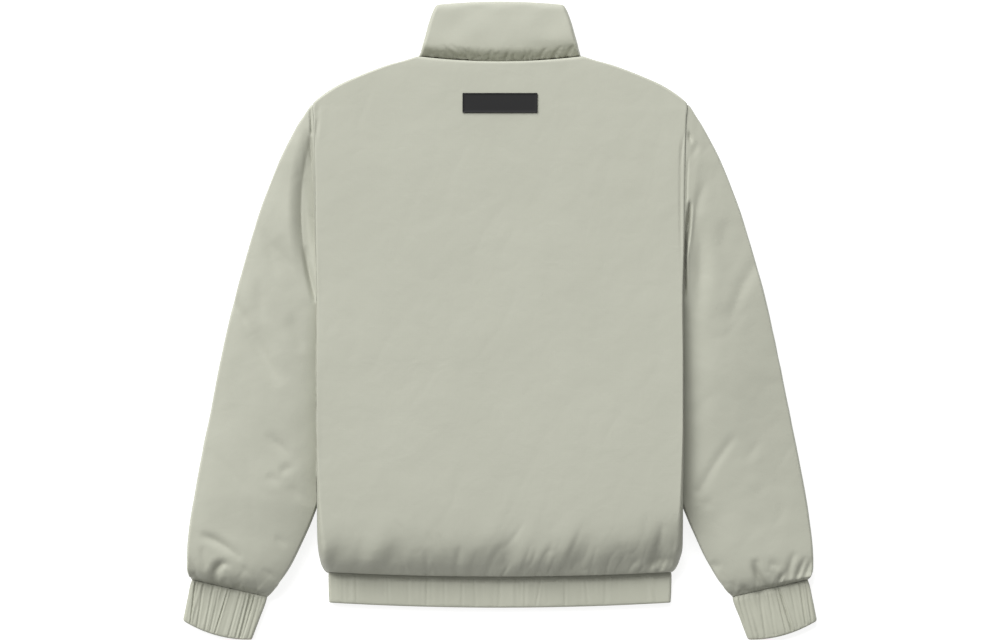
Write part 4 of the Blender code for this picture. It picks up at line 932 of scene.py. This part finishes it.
# A pleat's place at the seam and at the free edge, as a share across from the outer or left side, with
# its depth and half its width in millimetres
Pleat = namedtuple("Pleat", "seam edge deep wide")
HEM_PLEATS = [Pleat(*row) for row in (
    (0.043, 0.043, 0.5, 1.8), (0.081, 0.081, 0.5, 1.6), (0.174, 0.175, 0.5, 1.6),
    (0.233, 0.232, 0.4, 1.8), (0.288, 0.286, 0.8, 1.5), (0.338, 0.339, 0.5, 1.6),
    (0.391, 0.389, 0.6, 1.7), (0.425, 0.430, 0.4, 1.6), (0.500, 0.497, 0.5, 2.2),
    (0.573, 0.573, 0.6, 1.6), (0.620, 0.604, 0.9, 1.3), (0.690, 0.690, 0.9, 1.5),
    (0.747, 0.758, 0.5, 1.6), (0.808, 0.806, 0.4, 1.6), (0.930, 0.960, 0.4, 2.4),
)]
CUFF_PLEATS = {
    -1: [Pleat(*row) for row in (
        (0.058, 0.110, 1.7, 1.0), (0.163, 0.215, 0.9, 1.2), (0.295, 0.333, 0.9, 1.3),
        (0.374, 0.407, 0.7, 1.1), (0.490, 0.480, 1.5, 1.0), (0.650, 0.674, 0.8, 1.2),
        (0.730, 0.778, 1.0, 1.3), (0.782, 0.837, 2.0, 1.5), (0.835, 0.867, 1.2, 1.1),
        (0.900, 0.940, 0.6, 1.2),
    )],
    1: [Pleat(*row) for row in (
        (0.853, 0.911, 0.9, 1.6), (0.920, 0.980, 0.6, 1.2), (0.640, 0.760, 0.7, 1.5),
        (0.400, 0.376, 1.9, 1.3), (0.427, 0.465, 0.9, 1.1), (0.120, 0.168, 1.2, 1.2),
        (0.040, 0.079, 1.0, 1.1), (0.533, 0.620, 0.6, 1.5), (0.250, 0.280, 0.5, 1.4),
    )],
}
HEM_STITCHING = (0.0034, 0.0064)    # from the seam down to the two lines of stitches that hold the elastic
GROOVE_DEEP, GROOVE_WIDE = 0.00022, 0.0009      # how deep they draw the cloth in, and half the width of that


def pleated(share, along, width, pleats):
    """Depth of the pleats at shares across a band, along from its seam at 0 to its edge at 1."""
    total = 0 * share * along
    for pleat in pleats:
        middle = pleat.seam + (pleat.edge - pleat.seam) * along
        away = np.abs(share - middle) * width / (pleat.wide / 1000)
        total += pleat.deep / 1000 * (np.exp(-away ** 1.5) - PLEAT_SWELL * bump(away - 1.9, 0.8))
    return total


def ribbed(across, down, high, rows, path, pleats, seed, size, lively=1.0):
    """Ribs and pleats of a band: the pleats above, and ribs like them all round."""
    from_seam, to_edge = rows.down - rows.down[0], rows.down[-1] - rows.down
    # The underside gets other ribs than the top, and the folds take theirs from their height.
    way = across + np.where(path.face < 0, 0.37, 0) + path.side * np.where(path.face == 0, high, 0)
    ribs = 0.0005 * lively * unevenness(way, down, size, seed, stretch=14)
    ribs += 0.0003 * lively * unevenness(way, down, 0.45 * size, seed + 1, stretch=18)
    ribs += 0.00035 * unevenness(way, down, 0.0022, seed + 2, stretch=3) * bump(from_seam, 0.006)
    share = 0.5 + across / (2 * rows.half)
    deep = pleated(share, from_seam / (from_seam + to_edge), 2 * rows.half, pleats) * (path.face > 0)
    return (ribs + (0.4 + 0.6 * lively) * deep) * ease(from_seam, 0, 0.003) * ease(to_edge, 0, 0.004)


hem_rows = filled_in(HEM_BAND, band_step)
hem_path = round_a_band(303, 9, 140)


def hem_relief(across, down, high):
    """How far the ribs, the pleats and the two lines of stitches press the hem band in."""
    seam_down = hem_rows.down[0] + hem_rows.bow * (1 - (across / hem_rows.half) ** 2)
    grooves = sum(GROOVE_DEEP * bump(down - seam_down - line, GROOVE_WIDE) for line in HEM_STITCHING)
    return ribbed(across, down, high, hem_rows, hem_path, HEM_PLEATS, 50, RIB_SIZE, HEM_LIVELY) + grooves


# The band's colours are lighter than the shell's, though it is the same cloth: painted light, set against
# the shade that the rolled hem casts on the band.
BAND_CLOTH_PAINTED_LIGHTER = shell_cloth("woven polyester shell over elastic", "A0A193", "9D9E90")
mesh = band_mesh("elastic_hem_band", hem_rows, hem_path, BAND_SLOT, BAND_WALL, hem_relief, place, ZIP_EDGE)
hem_band = piece(mesh, BAND_CLOTH_PAINTED_LIGHTER, "band", "hem_band")

STITCH_LONG, STITCH_PITCH = 0.0025, 0.0034
STITCH_THICK = 0.00042      # drawn a little thicker than the real thread, so that it shows
STITCH_SUNK = 0.00030       # how far a stitch's ends go into the cloth
# shares along a stitch, and its thickness there as a share
STITCH_RINGS = ((0, 0.35), (0.12, 0.85), (0.5, 1.0), (0.88, 0.85), (1, 0.35))


def surface_under(mesh):
    """A function that gives the height of a mesh's highest point at a place."""
    tree = BVHTree.FromPolygons([v.co for v in mesh.vertices], [face.vertices for face in mesh.polygons])
    return lambda x, y: tree.ray_cast((x, y, 1.0), (0, 0, -1))[0].z


def joined(bm, rings):
    """Adds the faces from ring to ring of points, and those that close both ends."""
    for ring, after in zip(rings, rings[1:]):
        for i in range(len(ring)):
            j = (i + 1) % len(ring)
            bm.faces.new((ring[i], ring[j], after[j], after[i]))
    bm.faces.new(rings[0])
    bm.faces.new(rings[-1])


bm = bmesh.new()
band_high = surface_under(mesh)
seam = HEM_BAND[0]
for line in HEM_STITCHING:
    for spot in np.arange(-seam.half + 0.008, seam.half - 0.008, STITCH_PITCH):
        rings = []
        for share, thick in STITCH_RINGS:
            x = spot + share * STITCH_LONG
            y = MIDDLE - seam.down - seam.bow * (1 - (x / seam.half) ** 2) - line
            z = band_high(x, y) - STITCH_SUNK * (2 * share - 1) ** 2
            radius = thick * STITCH_THICK / 2
            rings.append([bm.verts.new((x, y + radius * np.cos(turn), z + radius * (0.4 + np.sin(turn))))
                          for turn in np.arange(6) * pi / 3])
        joined(bm, rings)
# Spun yarn: dull, with the twist of its plies as fine slanting bands, and painted shade darkening the colour
# in the grooves between the plies.
THREAD_YARN = surface("spun polyester thread", Roughness=0.7, Sheen_Weight=0.2)
twist = add(THREAD_YARN, "TexWave", {"Vector": add(THREAD_YARN, "TexCoord").outputs["Object"],
                                     "Scale": WAVE_LENGTH / 0.0006}, bands_direction="DIAGONAL")
ply = add(THREAD_YARN, "Bump", {"Strength": 0.5, "Distance": 0.0001, "Height": twist.outputs["Fac"]})
ply_shade = add(THREAD_YARN, "Mix", {0: twist.outputs["Fac"], 6: colour("8C8D80"), 7: colour("A6A799")},
           data_type="RGBA")
wire(THREAD_YARN, Base_Color=ply_shade.outputs[2], Normal=ply.outputs["Normal"])
piece(written(bm, bpy.data.meshes.new("hem_stitching")), THREAD_YARN, "band")

cuff_rows = filled_in(CUFF, band_step)
cuff_path = round_a_band(123, 9, 60)


def cuff(word, side):
    """One cuff, turned to hang straight on from the end of its sleeve."""
    end = SLEEVE[-1]
    turn = np.arctan2(end.inner_down - end.outer_down, end.outer_out - end.inner_out)
    middle_out, middle_down = (end.outer_out + end.inner_out) / 2, (end.outer_down + end.inner_down) / 2

    def to_frame(across, down, high):
        across = across + CUFF_LEAN * down
        down = down * (1 - CUFF_SKEW * across / CUFF[0].half)
        out = middle_out + across * np.cos(turn) + down * np.sin(turn)
        return place(side * out, middle_down - across * np.sin(turn) + down * np.cos(turn), high)

    def relief(across, down, high):
        pleats = CUFF_PLEATS[side]
        return ribbed(-across, down, high, cuff_rows, cuff_path, pleats, 56 + side, CUFF_RIB_SIZE)

    # The cuffs' colours are a little darker than the sleeves', though they are the same cloth: painted
    # shade.
    cloth = shell_cloth("woven polyester shell, " + word + " cuff", "9A9B8D", "97988A", grain=side * 0.24)
    mesh = band_mesh("elastic_cuff_" + word, cuff_rows, cuff_path, BAND_SLOT, BAND_WALL, relief, to_frame)
    made = piece(mesh, cloth, "band", "cuff_" + word)


for side, word in SIDES:
    cuff(word, side)

# ---------------------------------------------------------------------------------------------------
# Patch below the collar. A plain moulded silicone rubber patch with a low raised rim, glued to the back.
# ---------------------------------------------------------------------------------------------------

PATCH_HALF = 0.0480         # half its width
PATCH_TOP, PATCH_END = 0.0410, 0.0664       # down to its upper and lower edge
PATCH_CORNER = 0.0011
LEAST_CORNER = 0.00005      # what is left of the corners' radius on the inner loops
# how far in from its outline each loop lies, and how high it stands
PATCH_LOOPS = ((0.0, 0.0), (0.0, 0.0011), (0.00012, 0.0015), (0.0004, 0.0017), (0.0011, 0.0017),
               (0.0014, 0.0014), (0.0019, 0.00128), (0.0045, 0.00128), (0.0080, 0.00128), (0.0124, 0.00128))
PATCH_UNDER = 0.0004        # how far its underside lies above the back
LONG_SIDE, SHORT_SIDE = 26, 8       # points along its sides, the corners' included
BED_X, BED_DOWN = 12, 6     # cells of the grid on which the back's height is worked out below it


def back_high(x, down):
    """Height of the back's finished surface at one place across, away from the hem."""
    x = np.array([[x]])
    high = back_form(body, x) - back_relief(body, x)
    return np.interp(down, row_down(body, x)[:, 0], high[:, 0])


def rounded_outline(inset):
    """Points round the patch's outline, moved in."""
    half_x, half_y = PATCH_HALF - inset, (PATCH_END - PATCH_TOP) / 2 - inset
    corner = max(PATCH_CORNER - inset, LEAST_CORNER)
    points = []
    for k, (sign_x, sign_y) in enumerate(((1, 1), (-1, 1), (-1, -1), (1, -1))):
        for angle in np.linspace(0, pi / 2, 5) + k * pi / 2:
            points.append((sign_x * (half_x - corner) + corner * np.cos(angle),
                           sign_y * (half_y - corner) + corner * np.sin(angle)))
        along = (k + 1) % 2
        for t in np.linspace(0, 1, LONG_SIDE if along else SHORT_SIDE)[1:-1]:
            far = 1 - 2 * t
            points.append((sign_x * far * (half_x - corner), sign_y * half_y) if along
                          else (sign_x * half_x, sign_y * far * (half_y - corner)))
    return points


middle_down = (PATCH_TOP + PATCH_END) / 2
grid_down = np.linspace(PATCH_TOP, PATCH_END, BED_DOWN + 1)
under_patch = np.array([back_high(x, grid_down) for x in np.linspace(-PATCH_HALF, PATCH_HALF, BED_X + 1)])


def patch_bed(x, down):
    """Height of the back below the patch."""
    i = np.clip((x + PATCH_HALF) / (2 * PATCH_HALF) * BED_X, 0, BED_X - 0.001)
    j = np.clip((down - PATCH_TOP) / (PATCH_END - PATCH_TOP) * BED_DOWN, 0, BED_DOWN - 0.001)
    a, b = int(i), int(j)
    u, v = i - a, j - b
    return ((under_patch[a, b] * (1 - u) + under_patch[a + 1, b] * u) * (1 - v)
            + (under_patch[a, b + 1] * (1 - u) + under_patch[a + 1, b + 1] * u) * v)


bm = bmesh.new()
joined(bm, [[bm.verts.new((x, MIDDLE - middle_down - y,
                           patch_bed(x, middle_down + y) + PATCH_UNDER + stands))
             for x, y in rounded_outline(inset)] for inset, stands in PATCH_LOOPS])
mesh = written(bm, bpy.data.meshes.new("moulded_patch"), sharp=35)
# Silicone rubber out of a matt mould: deep black and dull, with a fine even grit.
RUBBER = surface("moulded silicone rubber", Base_Color=colour("0B0B0C"), Roughness=0.7, IOR=1.41)
grit = add(RUBBER, "TexNoise", {"Vector": add(RUBBER, "TexCoord").outputs["Object"], "Scale": 900.0,
                                "Detail": 2.0})
dull = add(RUBBER, "Bump", {"Strength": 0.25, "Distance": 0.0001, "Height": grit.outputs["Fac"]})
wire(RUBBER, Normal=dull.outputs["Normal"])
piece(mesh, RUBBER, "patch", "label_patch")

# ---------------------------------------------------------------------------------------------------
# Zip. Two woven polyester tapes sewn to the fronts, each with a row of separate moulded teeth that hook
# into the other row. It is closed, with its slider near the top of the collar and its pull hanging down.
# ---------------------------------------------------------------------------------------------------

# places down the zip, and the height of its middle at each
ZIP_DOWN = (-0.0705, -0.0300, -0.0130, 0.0200, 0.3300, 0.6200, 0.6480, 0.6600, 0.6930)
ZIP_HIGH = (0.0135, 0.0135, 0.0115, 0.0095, 0.0105, 0.0085, 0.0048, 0.0036, 0.0036)
TEETH_FROM, TEETH_TO = 0.6840, -0.0600      # down to the box's end of the teeth, and to the slider's
TOOTH_PITCH = 0.0030        # between two teeth of one tape
TOOTH_THICK = 0.0024
TOOTH_BEVEL = 0.00022
# half a tooth's length at a distance out from the zip's middle: its root on the tape, neck, and head
TOOTH = ((0.0031, 0.00062), (0.0022, 0.00066), (0.0012, 0.00040), (0.0006, 0.00052), (0.0, 0.00064),
         (-0.0007, 0.00058), (-0.0011, 0.00034))
TAPE_THICK = 0.0008
TAPE_STEP = 0.0017          # between two rows of points along a tape
CORD = 1.375                # thickness of its corded inner edge, as a share of the tape's
SEWN = 0.72                 # the same where the stitches draw it in
# thickness of a tape at a distance out from the zip's middle, as a share
TAPE = ((0.0029, 0.3), (0.0032, CORD), (0.0037, CORD), (0.0042, 1.0), (0.0052, 1.0), (0.0062, 1.0),
        (0.0066, SEWN), (0.0070, 1.0), (0.0080, 1.0), (0.0090, 0.5))


def zip_spot(out, down, lift=0.0):
    return out, MIDDLE - down, np.interp(down, ZIP_DOWN, ZIP_HIGH) + lift


def zip_tape(word, side):
    """One tape, with a cord woven into its inner edge and a line of stitches further out."""
    section = [(out, share * TAPE_THICK / 2) for out, share in TAPE]
    section += [(out, -thick) for out, thick in section[::-1]]
    downs = np.arange(ZIP_DOWN[0], ZIP_DOWN[-1], TAPE_STEP)
    sway = 0.00012 * unevenness(downs, 0 * downs, 0.012, 70 + side)
    bm = bmesh.new()
    joined(bm, [[bm.verts.new(zip_spot(side * out, down, off + lift)) for out, lift in section]
                for down, off in zip(downs, sway)])
    mesh = written(bm, bpy.data.meshes.new("woven_zip_tape_" + word), sharp=50)
    piece(mesh, TAPE_WEAVE, "tape", "zip_tape_" + word)


# Herringbone of fine yarn: soft dull ribs that turn back on themselves across the tape, with painted shade
# darkening the colour in the valleys between the ribs.
TAPE_WEAVE = surface("woven polyester zip tape", Roughness=0.82, Sheen_Weight=0.15)
spot = add(TAPE_WEAVE, "SeparateXYZ", {"Vector": add(TAPE_WEAVE, "TexCoord").outputs["Object"]})
turned = add(TAPE_WEAVE, "Math", {0: spot.outputs["X"], 1: 0.0012}, operation="PINGPONG")
slant = add(TAPE_WEAVE, "Math", {0: spot.outputs["Y"], 1: turned.outputs["Value"]}, operation="ADD")
rows = add(TAPE_WEAVE, "Math", {0: slant.outputs["Value"], 1: 0.0004}, operation="PINGPONG")
rib = add(TAPE_WEAVE, "MapRange", {"Value": rows.outputs["Value"], "From Max": 0.0004})
fuzz = add(TAPE_WEAVE, "Bump", {"Strength": 0.6, "Distance": 0.00015, "Height": rib.outputs["Result"]})
# painted shade: the colour goes dark where the rib is low
yarn = add(TAPE_WEAVE, "Mix", {0: rib.outputs["Result"], 6: colour("858678"), 7: colour("95968A")},
           data_type="RGBA")
wire(TAPE_WEAVE, Base_Color=yarn.outputs[2], Normal=fuzz.outputs["Normal"])
for side, word in SIDES:
    zip_tape(word, side)

# Acetal teeth: smooth and a little glossy, with faint flow marks from the mould.
ACETAL = surface("moulded acetal", Roughness=0.38, IOR=1.48)
flow = add(ACETAL, "TexNoise", {"Vector": add(ACETAL, "TexCoord").outputs["Object"], "Scale": 420.0})
marks = add(ACETAL, "Bump", {"Strength": 0.25, "Distance": 0.0001, "Height": flow.outputs["Fac"]})
tone = add(ACETAL, "Mix", {0: flow.outputs["Fac"], 6: colour("83857A"), 7: colour("8F9184")},
           data_type="RGBA")
wire(ACETAL, Base_Color=tone.outputs[2], Normal=marks.outputs["Normal"])
outline = list(TOOTH) + [(out, -half) for out, half in TOOTH[::-1]]
middle_out = np.mean([out for out, _ in TOOTH])
face = TOOTH_THICK / 2
bm = bmesh.new()
for k, down in enumerate(np.arange(TEETH_TO, TEETH_FROM, TOOTH_PITCH / 2)):
    side = 1 if k % 2 else -1
    joined(bm, [
        [bm.verts.new(zip_spot(side * (out + inset * np.sign(middle_out - out)),
                               down + half - inset * np.sign(half), lift)) for out, half in outline]
        for lift, inset in ((-face, TOOTH_BEVEL), (TOOTH_BEVEL - face, 0), (face - TOOTH_BEVEL, 0),
                            (face, TOOTH_BEVEL))])
mesh = written(bm, bpy.data.meshes.new("moulded_zip_teeth"), sharp=28)
piece(mesh, ACETAL, "teeth", "zip_teeth")

# Zinc casting with a dark nickel plating: satin, rubbed a little brighter where fingers hold it.
PLATED = surface("dark nickel plated zinc", Metallic=1.0)
rubbed = add(PLATED, "TexNoise", {"Vector": add(PLATED, "TexCoord").outputs["Object"], "Scale": 160.0,
                                  "Detail": 5.0})
wear = add(PLATED, "MapRange", {"Value": rubbed.outputs["Fac"], "From Min": 0.35, "From Max": 0.70,
                                "To Min": 0.26, "To Max": 0.44})
plate = add(PLATED, "Mix", {0: rubbed.outputs["Fac"], 6: colour("4A4A4B"), 7: colour("6A6A6B")},
            data_type="RGBA")
wire(PLATED, Roughness=wear.outputs["Result"], Base_Color=plate.outputs[2])
WORN_EDGE = 0.00018         # how far the castings' edges are rounded
for name in ("zip_slider", "zip_pull", "zip_box"):
    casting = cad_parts[name]
    for socket in casting.material_slots:
        socket.material = PLATED
    worn_edge = casting.modifiers.new("worn edge", "BEVEL")
    worn_edge.width, worn_edge.segments, worn_edge.limit_method = WORN_EDGE, 2, "ANGLE"

# ---------------------------------------------------------------------------------------------------
# Floor, light and camera: a white studio table seen from straight above, lit softly from the collar's
# side and a little from the left.
# ---------------------------------------------------------------------------------------------------

TABLE_HALF = 20.0
TABLE_HIGH = -0.0002        # just below the jacket, so that no two faces share a plane
WHITE = (1.0, 1.0, 1.0, 1.0)
table_mesh = bpy.data.meshes.new("studio_table")
table_mesh.from_pydata([(x * TABLE_HALF, y * TABLE_HALF, TABLE_HIGH)
                        for x, y in ((-1, -1), (1, -1), (1, 1), (-1, 1))], [], [(0, 1, 2, 3)])
# Opal acrylic lit from below: an even white, against which the jacket's whole outline shows.
table_mesh.materials.append(surface("white acrylic light table", Base_Color=colour("9E9E9D"), Roughness=0.9,
                                    Emission_Color=WHITE, Emission_Strength=0.8))
table = bpy.data.objects.new("studio_table", table_mesh)
scene.collection.objects.link(table)

studio = bpy.data.worlds.new("white studio")
studio.use_nodes = True
studio.node_tree.nodes["Background"].inputs["Color"].default_value = WHITE
studio.node_tree.nodes["Background"].inputs["Strength"].default_value = 0.42
scene.world = studio

KEY_SPOT = (-10.6, 18.2, 17.6)
key_lamp = bpy.data.lights.new("softbox", "AREA")
key_lamp.shape = "RECTANGLE"
key_lamp.size, key_lamp.size_y = 28.0, 24.0
key_lamp.energy = 16100
key = bpy.data.objects.new("softbox", key_lamp)
key.location = KEY_SPOT
key.rotation_euler = Vector(KEY_SPOT).to_track_quat("Z", "Y").to_euler()
scene.collection.objects.link(key)

CAMERA_SPOT = (0, 0.0011, 12.05)
PICTURE_HIGH = 0.05         # height of the plane that the picture's width is measured in
PICTURE_WIDE = 1.28
SENSOR = 36
lens = bpy.data.cameras.new("camera")
lens.sensor_width = SENSOR
lens.lens = SENSOR * (CAMERA_SPOT[2] - PICTURE_HIGH) / PICTURE_WIDE
lens.clip_end = 100
camera = bpy.data.objects.new("camera", lens)
camera.location = CAMERA_SPOT
scene.collection.objects.link(camera)
scene.camera = camera
scene.view_settings.view_transform = "Standard"
